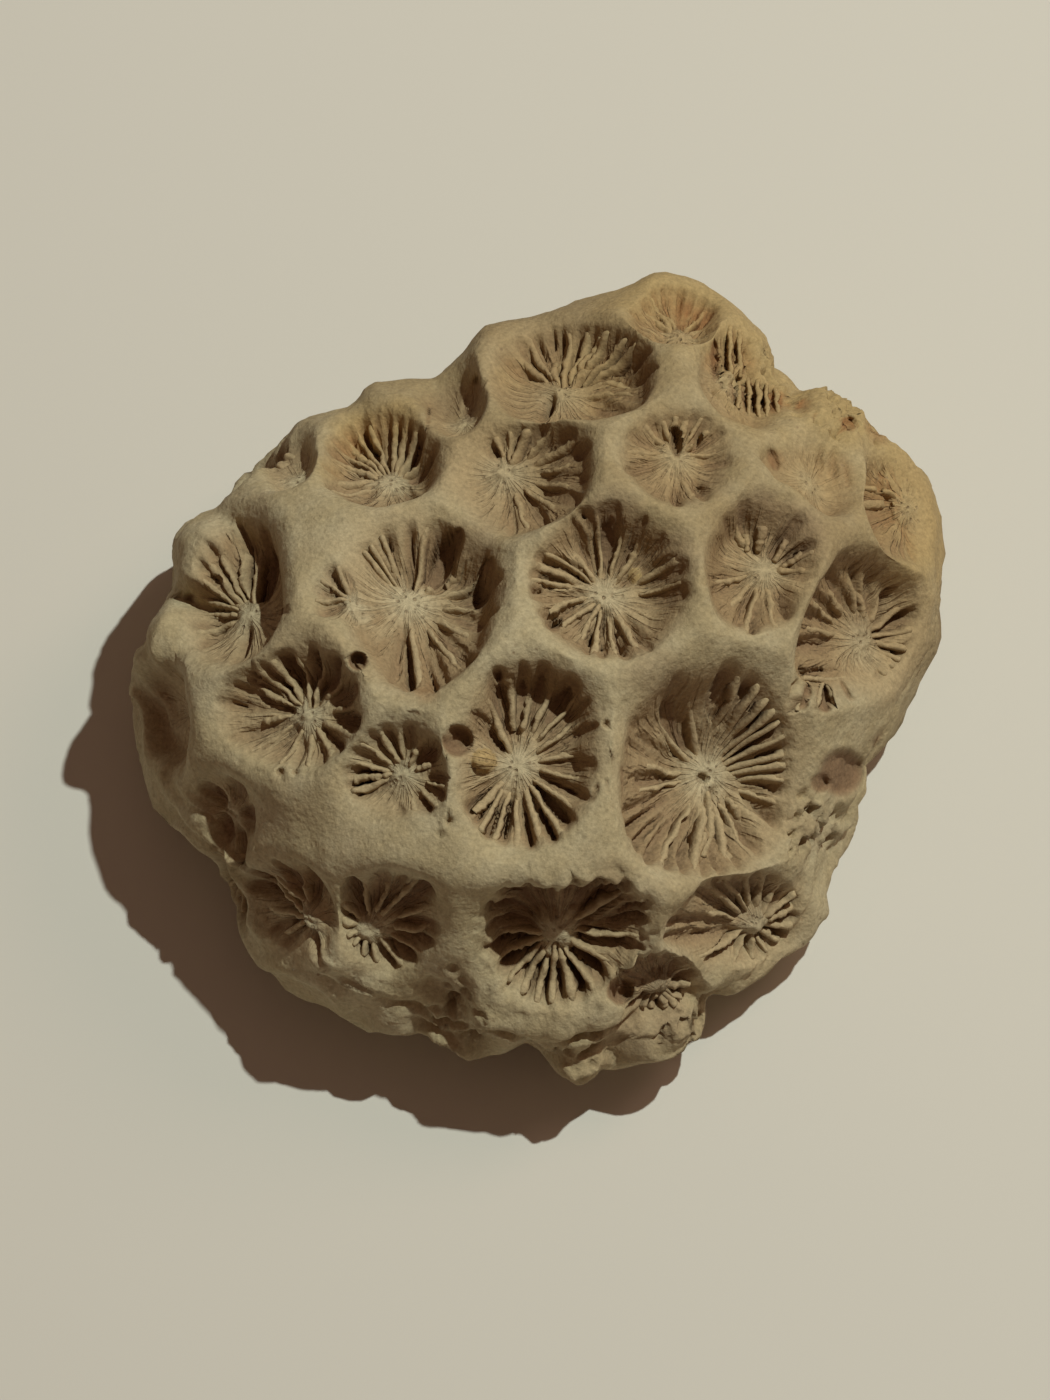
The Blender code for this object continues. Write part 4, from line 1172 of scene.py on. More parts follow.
def bored_depth(points):
    """Depth of the pits and slits below the growing face."""
    depth = np.zeros(len(points))
    for (across, up), radius, sink in PITS:
        away = face_distance(points, across, up)
        depth += sink * smooth_step(radius + PIT_LIP, PIT_FLOOR * radius, away)
    for (across, up), direction, length, width, sink in SLITS:
        turn = math.radians(direction)
        x = points @ FACE_ACROSS - across
        y = points @ FACE_UP - up
        along = np.abs(x * math.cos(turn) + y * math.sin(turn)) / (length / 2)
        aside = np.abs(y * math.cos(turn) - x * math.sin(turn))
        half_width = width / 2 * np.sqrt(np.clip(1 - along ** SLIT_ROUNDNESS, 0, 1))
        in_slit = smooth_step(*SLIT_EDGE, half_width - aside) * (along < 1)
        depth += sink * in_slit
    return depth * smooth_step(*BORED_LEVELS, points @ FACE_AXIS)


def break_surface(points, fields):
    """How far each point is broken down in the crumbled, porous places."""
    broken = np.zeros(len(points))
    for (across, up), radius, amount in BREAKS:
        away = face_distance(points, across, up) + BREAK_SWAY * fields["sway"]
        broken = np.maximum(broken, amount * smooth_step(radius, BREAK_CORE * radius, away))
    index = np.flatnonzero(broken > 0)
    cells = np.zeros(len(points))
    cells[index] = [noise.voronoi(Vector(point) * PORE_PITCH)[0][0] for point in points[index]]
    holes = smooth_step(*PORE_WIDTH, cells) * broken
    level = points @ FACE_AXIS * BREAK_LEDGES + BREAK_LEDGE_SWAY * fields["sway"]
    ledges = np.abs((level + BREAK_LEDGE_RIPPLE * fields["ripple"]) % 1 - 0.5)
    crumbs = CRUMB_DEPTH * np.abs(fields["sponge"]) + CRUMB_GRAIN * fields["fine"]
    crumbs += BREAK_LEDGE_DEPTH * (BREAK_LEDGE_MIDDLE - ledges)
    return PORE_DEPTH * holes + broken * crumbs


def flank_ledges(points, fields):
    """Low growth ledges that run around the foot of the colony."""
    height = points[:, 2]
    level = height * LEDGE_PITCH + LEDGE_BROADNESS * fields["broad"] + LEDGE_SWAY * fields["sway"]
    tread = np.abs(level - np.round(level)) * 2
    on_flank = smooth_step(*LEDGE_TOP, height) * smooth_step(*LEDGE_FOOT, height)
    return LEDGE_DEPTH * smooth_step(*LEDGE_TREAD, tread) * on_flank


def sand_bumps(points):
    """Rise of the lodged sand grains."""
    rise = np.zeros(len(points))
    for (across, up), radius, lift in SAND_GRAINS:
        away = face_distance(points, across, up) / radius
        rise = np.maximum(rise, lift * np.sqrt(np.clip(1 - away ** 2, 0, 1)))
    return rise


def swell_rise(points):
    """Rise of the swells and notches."""
    rise = np.zeros(len(points))
    fall = np.zeros(len(points))
    for start, end, height, half_width in SWELLS:
        part = height * np.exp(-((segment_distance(points, start, end) / half_width) ** 2))
        rise = np.maximum(rise, part)
        fall = np.minimum(fall, part)
    return np.where(points @ FACE_AXIS > SWELL_LEVEL, rise + fall, 0)


def terrace_lift(points):
    """How far each point of the dome is pushed out along the face axis by the terraces."""
    lift = np.zeros(len(points))
    for (across, up), radius, level in TERRACES:
        away = face_distance(points, across, up)
        further = np.hypot(points @ FACE_ACROSS, points @ FACE_UP) - math.hypot(across, up)
        rise = np.clip(level - TERRACE_SLOPE * further - points @ FACE_AXIS, 0, TERRACE_MOST)
        lift = np.maximum(lift, rise * smooth_step(radius, TERRACE_CORE * radius, away))
    return lift


def stone_fields(points):
    """The noises that roughen the head, from broad swells to fine grain."""
    return {name: field(points, *settings) for name, settings in FIELDS.items()}


def unevenness(fields):
    """Rise of the noises that the whole head shares."""
    broad = BROAD_HEIGHT * fields["broad"]
    return broad + RIPPLE_HEIGHT * fields["ripple"] + FINE_HEIGHT * fields["fine"]


def sink_surface(points, cups):
    """Points of the dome moved to the worn surface, with everything known about each."""
    directions = points / np.linalg.norm(points, axis=1)[:, None]
    fields = stone_fields(points)
    depth, axis, masks = sink_cups(points, directions, cups, fields)
    depth += break_surface(points, fields) + flank_ledges(points, fields)
    grains = sand_bumps(points)
    depth -= unevenness(fields) + swell_rise(points) + grains
    depth = np.where(points[:, 2] < CUT_MARGIN - RIM_HEIGHT, 0, depth)
    # Browner with depth: partly the brown stain of the cups, partly painted shade in the hollows.
    masks["hollow_stain_and_shade"] = np.clip(depth / FULL_HOLLOW, 0, 1)
    masks["sand"] = (grains > GRAIN_EDGE).astype(float)
    sunk = points - depth[:, None] * axis + terrace_lift(points)[:, None] * FACE_AXIS
    masks.update(stain_masks(sunk, fields))
    return sunk, masks


def press_to_relief(shape, cups):
    """Move every vertex to its place, and return the masks that the stone's colours follow."""
    directions = np.array([vertex.co.normalized() for vertex in shape.verts])
    to_cut = RIM_HEIGHT / np.maximum(-directions[:, 2], LEAST_DISTANCE)
    points = directions * np.minimum(dome_radius(directions), to_cut)[:, None]
    sunk, masks = sink_surface(points, cups)
    bored = np.where(points[:, 2] < CUT_MARGIN - RIM_HEIGHT, 0, bored_depth(sunk))
    moved = sunk - bored[:, None] * FACE_AXIS
    moved[:, 2] = np.maximum(moved[:, 2], -RIM_HEIGHT)
    for vertex, place in zip(shape.verts, moved):
        vertex.co = (place[0] * MM, place[1] * MM, (place[2] + RIM_HEIGHT) * MM)
    # Pits and slits take the browning of the hollows and the darkening of the slots: painted shade.
    masks["hollow_stain_and_shade"] = np.clip(masks["hollow_stain_and_shade"] + bored / FULL_BORE, 0, 1)
    masks["slot"] = np.maximum(masks["slot"], np.clip(bored, 0, 1))
    return masks


def patch_mask(patches, points, fields):
    """Strength at each point of a table of soft round patches."""
    patched = np.zeros(len(points))
    for (across, up), radius, strength in patches:
        away = face_distance(points, across, up) + PATCH_RIPPLE * fields["ripple"]
        patched = np.maximum(patched, strength * smooth_step(radius, PATCH_CORE * radius, away))
    return patched


def yellow_mask(points, fields):
    """Warm staining along the upper right edge of the growing face."""
    nearest = np.min([
        segment_distance(points, start, end) for start, end in zip(YELLOW_EDGE, YELLOW_EDGE[1:])
    ], axis=0)
    return smooth_step(*YELLOW_BAND, nearest + YELLOW_SWAY * fields["sway"])


def tan_mask(points):
    """Darker and browner towards the upper side of the growing face."""
    across, up = TAN_HEADING
    return smooth_step(*TAN_BAND, across * (points @ FACE_ACROSS) + up * (points @ FACE_UP))


def stain_masks(points, fields):
    """How far each point takes the iron stains, dirt and painted shade, the yellow and the tan."""
    patched = patch_mask(YELLOWED, points, fields)
    return {
        "rust": patch_mask(STAINS, points, fields),
        "dirt_and_shade": patch_mask(DIRT_AND_SHADE_PATCHES, points, fields),
        "yellow": np.maximum(yellow_mask(points, fields), patched),
        "tan": tan_mask(points),
    }


def finish_piece(name, mesh, masks):
    """An object of the mesh, with its masks as attributes."""
    for mask_name, values in masks.items():
        kind, part = ("FLOAT_VECTOR", "vector") if values.ndim == 2 else ("FLOAT", "value")
        attribute = mesh.attributes.new(mask_name, kind, "POINT")
        attribute.data.foreach_set(part, values.astype(np.float32).ravel())
    mesh.shade_smooth()
    piece = bpy.data.objects.new(name, mesh)
    bpy.context.collection.objects.link(piece)
    return piece


def make_head(face_cups, flank_cups):
    """The stone itself, as one closed mesh."""
    shape = make_ball(face_cups, flank_cups)
    masks = press_to_relief(shape, face_cups + flank_cups)
    mesh = bpy.data.meshes.new("worn_coral_head")
    shape.to_mesh(mesh)
    shape.free()
    return finish_piece("worn_coral_head", mesh, masks)


def septum_blank():
    """A straight bar of rings: its share along and its place in the section at every vertex."""
    bar = bmesh.new()
    sides = len(SEPTUM_SECTION)
    bmesh.ops.create_cone(bar, cap_ends=True, segments=sides, radius1=1, radius2=1, depth=1)
    long_edges = [edge for edge in bar.edges if abs(edge.verts[0].co.z - edge.verts[1].co.z) > 0.5]
    bmesh.ops.subdivide_edges(bar, edges=long_edges, cuts=SEPTUM_PIECES - 1)
    places = np.array([vertex.co for vertex in bar.verts])
    along = places[:, 2] + 0.5
    turns = np.arctan2(places[:, 1], places[:, 0]) / (2 * math.pi) * sides
    around = np.round(turns - turns[0]).astype(int) % sides
    faces = [[vertex.index for vertex in face.verts] for face in bar.faces]
    bar.free()
    return along, around, faces


def septum_lines(cup, rng):
    """Lines of the septa across a cup: points from the centre out, and the rise of each."""
    ends = []
    slots = cup.slots if cup.has_septa else []
    for inner, outer, _, share in slots:
        toward_inner = inner - cup.centre
        toward_outer = outer - cup.centre
        turn = math.atan2(toward_outer[1], toward_outer[0])
        skew = math.atan2(toward_inner[1], toward_inner[0]) - turn
        skew = (skew + math.pi) % (2 * math.pi) - math.pi
        ends.append((turn, skew, math.hypot(*toward_inner), math.hypot(*toward_outer), share))
    ends.sort()
    lines = []
    for number, (turn, skew, start, end, share) in enumerate(ends):
        next_turn, next_skew, next_start, next_end, next_share = ends[(number + 1) % len(ends)]
        gap = (next_turn - turn) % (2 * math.pi)
        if gap < SAME_SLOT_GAP or gap > WIDE_GAP:
            continue
        toward_steep = math.cos(turn + gap / 2 - cup.steep_turn)
        if cup.raggedness > RAGGED_CREST and toward_steep > RAGGED_SECTOR:
            continue
        place = 0.5 + rng.uniform(*SEPTUM_STRAY)
        start_radius = min(start, next_start) * rng.uniform(*SEPTUM_STARTS)
        end_radius = max(end, next_end) + SEPTUM_RUN_OUT * rng.uniform(*SEPTUM_RUN_OUTS)
        if rng.uniform() < BROKEN_SEPTA:
            end_radius *= rng.uniform(*BROKEN_LENGTHS)
        radii = np.linspace(start_radius, end_radius, SEPTUM_KNOTS)
        bend = skew + (next_skew - skew) * place
        turns = turn + gap * place + bend * np.linspace(1, 0, SEPTUM_KNOTS)
        points = cup.centre + radii[:, None] * np.stack([np.cos(turns), np.sin(turns)], axis=1)
        rise = SEPTUM_RISE * min(1.0, share + next_share) * rng.uniform(*SEPTUM_EVENNESS)
        lines.append((points, rise))
    return lines


def dome_above(cup, plane):
    """Points of the dome over places of the cup's plane."""
    points = cup.middle + plane[:, :1] * cup.sideways + plane[:, 1:] * cup.onward
    for _ in range(DOME_STEPS):
        points = points - height_outside(points)[:, None] * cup.outward
    return points


def rough_edge(along, length, rng):
    """Slow wave and quick teeth along an edge, from about -0.5 to 0.5."""
    phase = rng.uniform(*EDGE_PHASES)
    wave = [noise.noise(Vector((phase, share * length * EDGE_WAVES, 0))) for share in along]
    teeth = [
        noise.noise(Vector((phase, TOOTH_ROW, share * length / TOOTH_PITCH * TOOTH_DETAIL)))
        for share in along
    ]
    return np.array(wave), np.array(teeth)


def septum_place(cup, line, rise, blank, rng):
    """Vertices of one septum and their masks."""
    along, section = blank
    knots = np.linspace(0, 1, len(line))
    plane = np.stack([np.interp(along, knots, line[:, axis]) for axis in range(2)], axis=1)
    run = line[-1] - line[0]
    length = math.hypot(*run)
    aside = np.array([-run[1], run[0]]) / length
    wave, teeth = rough_edge(along, length, rng)
    plane += (WAVE_STRAY * wave + TOOTH_STRAY * teeth)[:, None] * aside
    ground = dome_above(cup, plane)
    fields = stone_fields(ground)
    _, _, _, inside, _, top, steep = cup_section(cup, ground, fields)
    steep = steep * smooth_step(*STEEP_PART, along)
    fade = smooth_step(*SEPTUM_INNER_FADE, along) * smooth_step(*SEPTUM_OUTER_FADE, along)
    lift = (rise + SEPTUM_SINK) * fade - SEPTUM_SINK + TOOTH_HEIGHT * teeth * fade
    sink = CREST_SINK * smooth_step(*CREST_SINK_BAND, inside)
    lift -= sink + CREST_DIVE * smooth_step(*CREST_DIVE_BAND, inside)
    lift -= STEEP_SINK * steep
    depth = top - unevenness(fields) - swell_rise(ground) - lift - section[:, 1]
    half_width = rng.uniform(*SEPTUM_HALF_WIDTHS)
    half_width = half_width * (1 + TOOTH_THICKNESS * teeth + WAVE_THICKNESS * wave)
    half_width *= SEPTUM_INNER_WIDTH + SEPTUM_WIDENING * along
    sides = aside[0] * cup.sideways + aside[1] * cup.onward
    places = ground - depth[:, None] * cup.outward + (section[:, 0] * half_width)[:, None] * sides
    places += terrace_lift(ground)[:, None] * FACE_AXIS
    pitted = smooth_step(*PIT_DIVE_DEPTH, bored_depth(places))
    places -= (PIT_DIVE * pitted)[:, None] * FACE_AXIS
    masks = stain_masks(places, fields)
    # The septa brown with depth too: partly stain, partly painted shade.
    masks["hollow_stain_and_shade"] = np.clip(depth / FULL_HOLLOW, 0, 1)
    # Painted shade on the steep, shaded side of the cup.
    masks["septa"] = 1 - STEEP_SHADE * steep
    return places, masks


def seat_on_face(across, up, cups):
    """The point of the worn surface seen at a place of the face's layout, and its masks."""
    offsets = np.linspace(-SEAT_REACH, SEAT_REACH, SEAT_STEPS)
    aside, above = (part.ravel() for part in np.meshgrid(offsets, offsets))
    tried, is_met = land_on_face(across + aside, up + above)
    sunk, masks = sink_surface(tried[is_met], cups)
    nearest = np.argmin(face_distance(sunk, across, up))
    seat = across * FACE_ACROSS + up * FACE_UP + (sunk[nearest] @ FACE_AXIS) * FACE_AXIS
    return seat, {name: masks[name][nearest] for name in SEPTUM_MASKS}


def bar_place(start, end, half_width, lift, cups, blank, rng):
    """Vertices of one bar that stands clear, and their masks."""
    along, section = blank
    low, low_masks = seat_on_face(*start, cups)
    high, high_masks = seat_on_face(*end, cups)
    run = high - low
    aside = np.cross(FACE_AXIS, run)
    aside /= np.linalg.norm(aside)
    wave, teeth = rough_edge(along, np.linalg.norm(run), rng)
    fade = smooth_step(*BAR_INNER_FADE, along) * smooth_step(*BAR_OUTER_FADE, along)
    height = lift * fade - BAR_SINK * (1 - fade) + TOOTH_HEIGHT * teeth + section[:, 1]
    half_width = half_width + BAR_TOOTH_THICKNESS * teeth + BAR_WAVE_THICKNESS * wave
    offset = section[:, 0] * half_width + BAR_STRAY * wave
    places = low + along[:, None] * run + height[:, None] * FACE_AXIS + offset[:, None] * aside
    masks = {
        name: low_masks[name] + (high_masks[name] - low_masks[name]) * along for name in low_masks
    }
    masks["septa"] = np.ones(len(along))
    return places, masks


def make_septa(cups):
    """The septa of all the cups and the free bars, as one mesh of thin plates."""
    rng = np.random.default_rng(SEPTA_SEED)
    along, around, blank_faces = septum_blank()
    section = np.array(SEPTUM_SECTION)[around]
    blank = (along, section)
    plates = []
    for cup in cups:
        lines = septum_lines(cup, rng)
        plates.extend(septum_place(cup, line, rise, blank, rng) for line, rise in lines)
    plates.extend(bar_place(*row, cups, blank, rng) for row in BARS)
    faces = [
        [number * len(along) + index for index in face]
        for number in range(len(plates)) for face in blank_faces
    ]
    places = np.concatenate([places for places, _ in plates])
    places[:, 2] = np.maximum(places[:, 2] + RIM_HEIGHT, LOWEST_SEPTUM)
    masks = {name: np.concatenate([plate[name] for _, plate in plates]) for name in SEPTUM_MASKS}
    # Painted highlight on the tops of the plates and painted shade down their sides and at their
    # feet.
    masks["septa"] *= np.tile(smooth_step(*TOP_SHADE, section[:, 1]), len(plates))
    foot = FOOT_SHADE * smooth_step(*FOOT_SHADE_BAND, section[:, 1])
    masks["slot"] = np.tile(foot, len(plates))
    mesh = bpy.data.meshes.new("coral_septa")
    mesh.from_pydata((places * MM).tolist(), [], faces)
    shape = bmesh.new()
    shape.from_mesh(mesh)
    bmesh.ops.recalc_face_normals(shape, faces=shape.faces[:])
    shape.to_mesh(mesh)
    shape.free()
    return finish_piece("coral_septa", mesh, masks)


# Colours of the stone.
CREST_COLOR = (0.388, 0.318, 0.189, 1)
PALE_COLOR = (0.46, 0.40, 0.265, 1)
# Brown of the hollows and of the random wash: partly stain, partly painted shade in the hollows.
HOLLOW_STAIN_AND_SHADE_COLOR = (0.32, 0.230, 0.128, 1)
# Pale septa, with painted highlight on their tops.
PALE_SEPTA_AND_HIGHLIGHT_COLOR = (0.43, 0.337, 0.20, 1)
CENTRE_COLOR = (0.49, 0.42, 0.275, 1)
# Painted shade of the slots, the pits and the septa's feet.
SLOT_SHADE_COLOR = (0.205, 0.124, 0.07, 1)
# Painted shade in the pinholes and the holes of the spongy centres.
PORE_SHADE_COLOR = (0.24, 0.165, 0.095, 1)
RUST_COLOR = (0.29, 0.14, 0.055, 1)
YELLOW_COLOR = (0.45, 0.315, 0.13, 1)
TAN_COLOR = (0.78, 0.70, 0.60, 1)
SAND_COLOR = (0.42, 0.30, 0.14, 1)
# Painted shade in the fine grooves down the cup walls.
GROOVE_SHADE_COLOR = (0.27, 0.18, 0.095, 1)
# Brown of the patches of dirt and painted shade.
DIRT_AND_SHADE_COLOR = (0.25, 0.175, 0.105, 1)

# Textures of the stone: waves or cells in a metre, detail and roughness. The streaks run in the
# cups' own frames, where a unit is a millimetre.
MOTTLE = (260.0, 4.0, 0.6)
WASH = (120.0, 3.0)
GRAIN = (3600.0, 2.0, 0.7)
LUMPS_OF_WEAR = (850.0, 3.0, 0.65)
STREAKS = (1.0, 2.0)
STREAK_STRETCH = (9.0, 9.0, 0.45)
PORES_IN_METRE = 1500.0
HOLES_IN_METRE = 2100.0

# Bands in which a texture or mask goes from nothing to all, some followed by the strengths at the
# two ends, and the strengths of the stains and of the painted shade.
PALE_BAND = (0.42, 0.72)
WASH_BAND = (0.5, 0.75, 0.0, 0.5)
HOLLOW_BAND = (0.12, 0.5)
SEPTA_BAND = (0.0, 1.0, 0.0, 0.8)
CENTRE_BAND = (0.2, 0.9, 0.0, 0.9)
RUST_IN_SLOTS = (0.0, 0.5, 0.55, 1.0)
RUST_ON_SEPTA = (0.0, 1.0, 1.0, 0.35)
GROOVE_BAND = (0.52, 0.40)
PORE_BAND = (0.2, 0.08)
PORE_PLACES = (0.52, 0.66)
PORE_RELIEF = (0.0, 0.35, -0.8, 0.0)
HOLE_BAND = (0.32, 0.12)
HOLE_SHADE = (0.0, 1.0, 0.0, 0.7)
FLECK_BAND = (0.25, 0.75, 0.78, 1.2)
TAN_STRENGTH = 0.7
YELLOW_STRENGTH = 0.5
DIRT_AND_SHADE_STRENGTH = 0.7
SLOT_SHADE_STRENGTH = 0.8
GROOVE_SHADE_STRENGTH = 0.45
PORE_SHADE_STRENGTH = 0.8

# Fine relief: strength and depth in metres.
RIB_RELIEF = (0.7, 0.00022)
HOLE_RELIEF = (0.8, 0.00012)
GRAIN_RELIEF = (0.6, 0.00008)
WEAR_RELIEF = (0.65, 0.00024)

# Surfaces: roughness and strength of the shine.
STONE_SURFACE = (0.9, 0.25)
PAPER_SURFACE = (0.95, 0.1)
PAPER_COLOR = (0.645, 0.625, 0.575, 1)
FLOOR_SIZE = 1.5


def plug(tree, socket, value):
    """Sets a node's input from a value or from another node's output."""
    if isinstance(value, bpy.types.NodeSocket):
        tree.links.new(value, socket)
    else:
        socket.default_value = value


def add_node(tree, kind, **inputs):
    """A node with its inputs set by name, from values or from other nodes' outputs."""
    node = tree.nodes.new(kind)
    for name, value in inputs.items():
        plug(tree, node.inputs[name.replace("_", " ")], value)
    return node


def blend(tree, factor, below, above, blend_type="MIX"):
    """Colour that goes from below to above as the factor goes from 0 to 1."""
    node = tree.nodes.new("ShaderNodeMix")
    node.data_type = "RGBA"
    node.blend_type = blend_type
    for name, value in (("Factor", factor), ("A", below), ("B", above)):
        socket = next(item for item in node.inputs if item.name == name and item.enabled)
        plug(tree, socket, value)
    return next(item for item in node.outputs if item.enabled)


def calculate(tree, operation, *values, kind="ShaderNodeMath"):
    """Result of one arithmetic step on values or other nodes' outputs."""
    node = tree.nodes.new(kind)
    node.operation = operation
    for socket, value in zip(node.inputs, values):
        plug(tree, socket, value)
    return node.outputs[0]


def mask(tree, name, output="Fac"):
    """One of the values that every point of the mesh keeps."""
    node = tree.nodes.new("ShaderNodeAttribute")
    node.attribute_name = name
    return node.outputs[output]


def remap(tree, value, low, high, to_low=0.0, to_high=1.0):
    """Value moved from the band of low and high to another band, and held inside it."""
    node = add_node(
        tree, "ShaderNodeMapRange", Value=value, From_Min=low, From_Max=high, To_Min=to_low,
        To_Max=to_high)
    return node.outputs["Result"]


def add_noise(tree, place, scale, detail, roughness=0.5):
    """Soft noise between 0 and 1."""
    node = add_node(
        tree, "ShaderNodeTexNoise", Vector=place, Scale=scale, Detail=detail, Roughness=roughness)
    return node.outputs["Fac"]


def add_cells(tree, place, scale):
    """Distance from the nearest of many scattered points."""
    return add_node(tree, "ShaderNodeTexVoronoi", Vector=place, Scale=scale).outputs["Distance"]


def add_relief(tree, below, strength, depth, height):
    """Fine relief laid over the relief below it, if there is any."""
    node = add_node(tree, "ShaderNodeBump", Strength=strength, Distance=depth, Height=height)
    if below is not None:
        tree.links.new(below, node.inputs["Normal"])
    return node.outputs["Normal"]


def new_material(name, roughness, shine):
    """A dry material, its nodes and its shader."""
    material = bpy.data.materials.new(name)
    material.use_nodes = True
    shader = material.node_tree.nodes["Principled BSDF"]
    shader.inputs["Roughness"].default_value = roughness
    shader.inputs["Specular IOR Level"].default_value = shine
    return material, material.node_tree, shader


def stained_color(tree, mottle, wash):
    """Stone of crests, hollows, septa and centres, stained, with painted shade in the slots."""
    septa, slot, yellow = (mask(tree, name) for name in ("septa", "slot", "yellow"))
    color = blend(tree, remap(tree, mottle, *PALE_BAND), CREST_COLOR, PALE_COLOR)
    color = blend(tree, remap(tree, wash, *WASH_BAND), color, HOLLOW_STAIN_AND_SHADE_COLOR)
    # Browner with depth: the cups' brown stain with painted shade.
    color = blend(tree, remap(tree, mask(tree, "hollow_stain_and_shade"), *HOLLOW_BAND), color, HOLLOW_STAIN_AND_SHADE_COLOR)
    color = blend(tree, remap(tree, septa, *SEPTA_BAND), color, PALE_SEPTA_AND_HIGHLIGHT_COLOR)
    color = blend(tree, remap(tree, mask(tree, "centre"), *CENTRE_BAND), color, CENTRE_COLOR)
    tan = calculate(tree, "MULTIPLY", mask(tree, "tan"), TAN_STRENGTH)
    color = blend(tree, tan, color, TAN_COLOR, "MULTIPLY")
    color = blend(tree, calculate(tree, "MULTIPLY", yellow, YELLOW_STRENGTH), color, YELLOW_COLOR)
    # Browner patches: partly dirt, partly painted shade.
    dirt_and_shade = calculate(tree, "MULTIPLY", mask(tree, "dirt_and_shade"), DIRT_AND_SHADE_STRENGTH)
    color = blend(tree, dirt_and_shade, color, DIRT_AND_SHADE_COLOR)
    rust = calculate(tree, "MULTIPLY", mask(tree, "rust"), remap(tree, slot, *RUST_IN_SLOTS))
    rust = calculate(tree, "MULTIPLY", rust, remap(tree, septa, *RUST_ON_SEPTA))
    color = blend(tree, rust, color, RUST_COLOR)
    # Painted shade in the slots, rusty where the stone is yellowed.
    slot_shade_and_rust_color = blend(tree, yellow, SLOT_SHADE_COLOR, RUST_COLOR)
    color = blend(tree, calculate(tree, "MULTIPLY", slot, SLOT_SHADE_STRENGTH), color, slot_shade_and_rust_color)
    return blend(tree, mask(tree, "sand"), color, SAND_COLOR)


def make_stone():
    """Material of the stone: its colours follow the masks, over mottling and painted shade in
    grooves and pores.
    """
    material, tree, shader = new_material("worn_coral_stone", *STONE_SURFACE)
    place = tree.nodes.new("ShaderNodeTexCoord").outputs["Object"]
    mottle = add_noise(tree, place, *MOTTLE)
    grain = add_noise(tree, place, *GRAIN)
    pores = add_cells(tree, place, PORES_IN_METRE)
    color = stained_color(tree, mottle, add_noise(tree, place, *WASH))
    radial = mask(tree, "radial", "Vector")
    stretched = calculate(tree, "MULTIPLY", radial, STREAK_STRETCH, kind="ShaderNodeVectorMath")
    streaks = remap(tree, add_noise(tree, stretched, *STREAKS), *GROOVE_BAND)
    groove = calculate(tree, "MULTIPLY", streaks, mask(tree, "wall"))
    # Painted shade in the fine grooves down the cup walls, rusty where the stone is yellowed.
    groove_shade_and_rust_color = blend(tree, mask(tree, "yellow"), GROOVE_SHADE_COLOR, RUST_COLOR)
    color = blend(tree, calculate(tree, "MULTIPLY", groove, GROOVE_SHADE_STRENGTH), color, groove_shade_and_rust_color)
    # Painted shade in the pinholes, and below it in the holes of the spongy centres.
    pinholes = calculate(
        tree, "MULTIPLY", remap(tree, pores, *PORE_BAND), remap(tree, mottle, *PORE_PLACES))
    color = blend(tree, calculate(tree, "MULTIPLY", pinholes, PORE_SHADE_STRENGTH), color, PORE_SHADE_COLOR)
    holes = remap(tree, add_cells(tree, place, HOLES_IN_METRE), *HOLE_BAND)
    holes = calculate(tree, "MULTIPLY", holes, mask(tree, "centre"))
    color = blend(tree, remap(tree, holes, *HOLE_SHADE), color, PORE_SHADE_COLOR)
    fleck = remap(tree, grain, *FLECK_BAND)
    fleck_color = add_node(tree, "ShaderNodeCombineColor", Red=fleck, Green=fleck, Blue=fleck)
    color = blend(tree, 1.0, color, fleck_color.outputs["Color"], "MULTIPLY")
    tree.links.new(color, shader.inputs["Base Color"])
    relief = None
    for settings, height in (
        (RIB_RELIEF, calculate(tree, "SUBTRACT", 1.0, groove)),
        (HOLE_RELIEF, calculate(tree, "SUBTRACT", 1.0, holes)),
        (GRAIN_RELIEF, calculate(tree, "ADD", grain, remap(tree, pores, *PORE_RELIEF))),
        (WEAR_RELIEF, add_noise(tree, place, *LUMPS_OF_WEAR)),
    ):
        relief = add_relief(tree, relief, *settings, height)
    tree.links.new(relief, shader.inputs["Normal"])
    return material


def make_floor():
    """Pale paper under the head, wider than the view."""
    shape = bmesh.new()
    bmesh.ops.create_grid(shape, x_segments=1, y_segments=1, size=FLOOR_SIZE)
    mesh = bpy.data.meshes.new("pale_floor")
    shape.to_mesh(mesh)
    shape.free()
    floor = bpy.data.objects.new("pale_floor", mesh)
    bpy.context.collection.objects.link(floor)
    material, _, shader = new_material("pale_paper", *PAPER_SURFACE)
    shader.inputs["Base Color"].default_value = PAPER_COLOR
    mesh.materials.append(material)


# Camera: it looks along the face axis at the aim, which is given across and up the face from the
# middle of the rim. Its reach and the size of a pixel at the aim are in millimetres.
PIXEL_SIZE = 0.0616
FRAME_PIXELS = 1050
AIM = (-0.55, -1.05)
CAMERA_REACH = 700
SENSOR_WIDTH = 36


def make_camera():
    """Camera that looks straight at the growing face from far away."""
    aim = (np.array([0, 0, RIM_HEIGHT]) + AIM[0] * FACE_ACROSS + AIM[1] * FACE_UP) * MM
    data = bpy.data.cameras.new("view")
    data.sensor_fit = "HORIZONTAL"
    data.sensor_width = SENSOR_WIDTH
    data.lens = SENSOR_WIDTH * CAMERA_REACH / (FRAME_PIXELS * PIXEL_SIZE)
    camera = bpy.data.objects.new("view", data)
    camera.location = Vector(aim) + Vector(FACE_AXIS) * CAMERA_REACH * MM
    camera.rotation_euler = (FACE_TILT, 0, 0)
    bpy.context.collection.objects.link(camera)
    bpy.context.scene.camera = camera


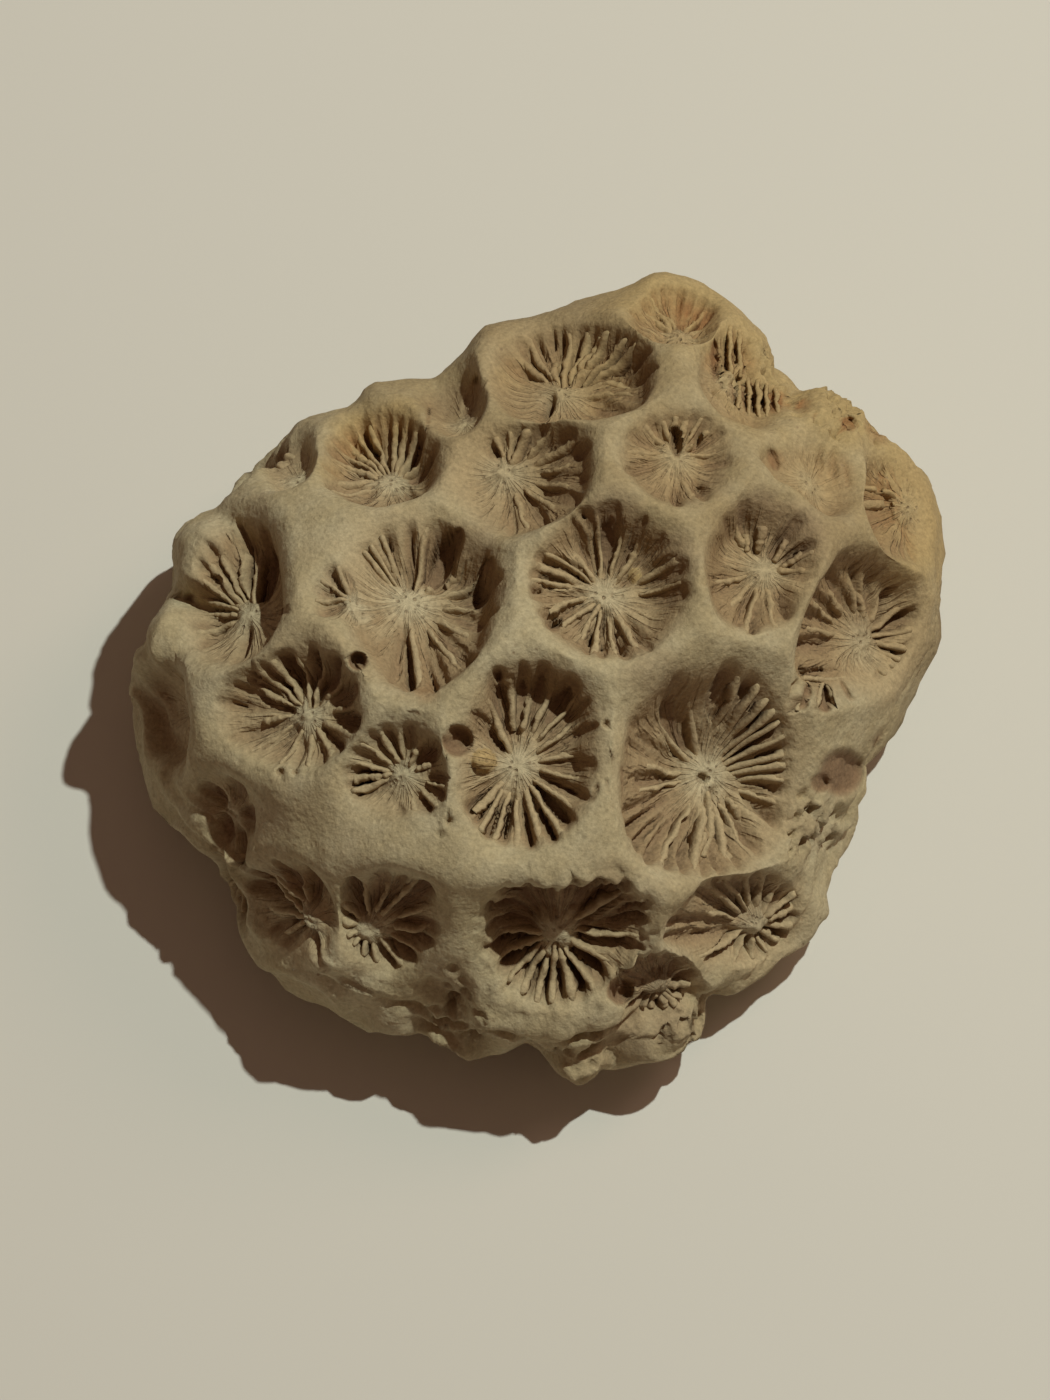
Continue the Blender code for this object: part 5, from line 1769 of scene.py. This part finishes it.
# Lamps: azimuth and height in degrees, distance and size in metres, power in watts. A small hard
# lamp and a wide soft one stand on the same side. The fill is what lights the shadows.
LAMP_AZIMUTH = 30
LAMP_HEIGHT = 66
LAMP_DISTANCE = 0.6
LAMP_SIZE = 0.014
LAMP_POWER = 2.75
LAMP_COLOR = (0.93, 1.0, 0.91)
SIDE_LAMP_HEIGHT = 46
SIDE_LAMP_SIZE = 0.25
SIDE_LAMP_POWER = 0.40
SIDE_LAMP_COLOR = (1.0, 0.62, 0.45)
FILL_COLOR = (0.138, 0.083, 0.057, 1)
BACKDROP_COLOR = (0.62, 0.58, 0.50, 1)


def add_lamp(name, height, size, power, color):
    """A round lamp that shines at the head from the lamps' side, at a height in degrees."""
    data = bpy.data.lights.new(name, "AREA")
    data.shape = "DISK"
    data.size = size
    data.energy = power
    data.color = color
    lamp = bpy.data.objects.new(name, data)
    direction = Vector(heading(LAMP_AZIMUTH, height))
    lamp.location = direction * LAMP_DISTANCE
    lamp.rotation_euler = (-direction).to_track_quat("-Z", "Y").to_euler()
    bpy.context.collection.objects.link(lamp)


def make_lights():
    """The two lamps, a dim warm fill, and a pale backdrop that only the camera sees."""
    add_lamp("studio_lamp", LAMP_HEIGHT, LAMP_SIZE, LAMP_POWER, LAMP_COLOR)
    add_lamp("soft_side_lamp", SIDE_LAMP_HEIGHT, SIDE_LAMP_SIZE, SIDE_LAMP_POWER, SIDE_LAMP_COLOR)
    world = bpy.data.worlds.new("warm_fill")
    world.use_nodes = True
    tree = world.node_tree
    fill = tree.nodes["Background"]
    fill.inputs["Color"].default_value = FILL_COLOR
    backdrop = add_node(tree, "ShaderNodeBackground", Color=BACKDROP_COLOR)
    path = tree.nodes.new("ShaderNodeLightPath")
    choose = tree.nodes.new("ShaderNodeMixShader")
    tree.links.new(path.outputs["Is Camera Ray"], choose.inputs["Fac"])
    tree.links.new(fill.outputs["Background"], choose.inputs[1])
    tree.links.new(backdrop.outputs["Background"], choose.inputs[2])
    tree.links.new(choose.outputs["Shader"], tree.nodes["World Output"].inputs["Surface"])
    bpy.context.scene.world = world


bpy.context.scene.view_settings.view_transform = "Standard"
rng = np.random.default_rng(CUP_SEED)
face_cups = [face_cup(*row, rng) for row in FACE_CUPS]
flank_cups = [flank_cup(*row, rng) for row in FLANK_CUPS]
stone = make_stone()
for piece in (make_head(face_cups, flank_cups), make_septa(face_cups + flank_cups)):
    piece.data.materials.append(stone)
    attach(piece, "root")
    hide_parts("coral_head")
make_floor()
make_camera()
make_lights()
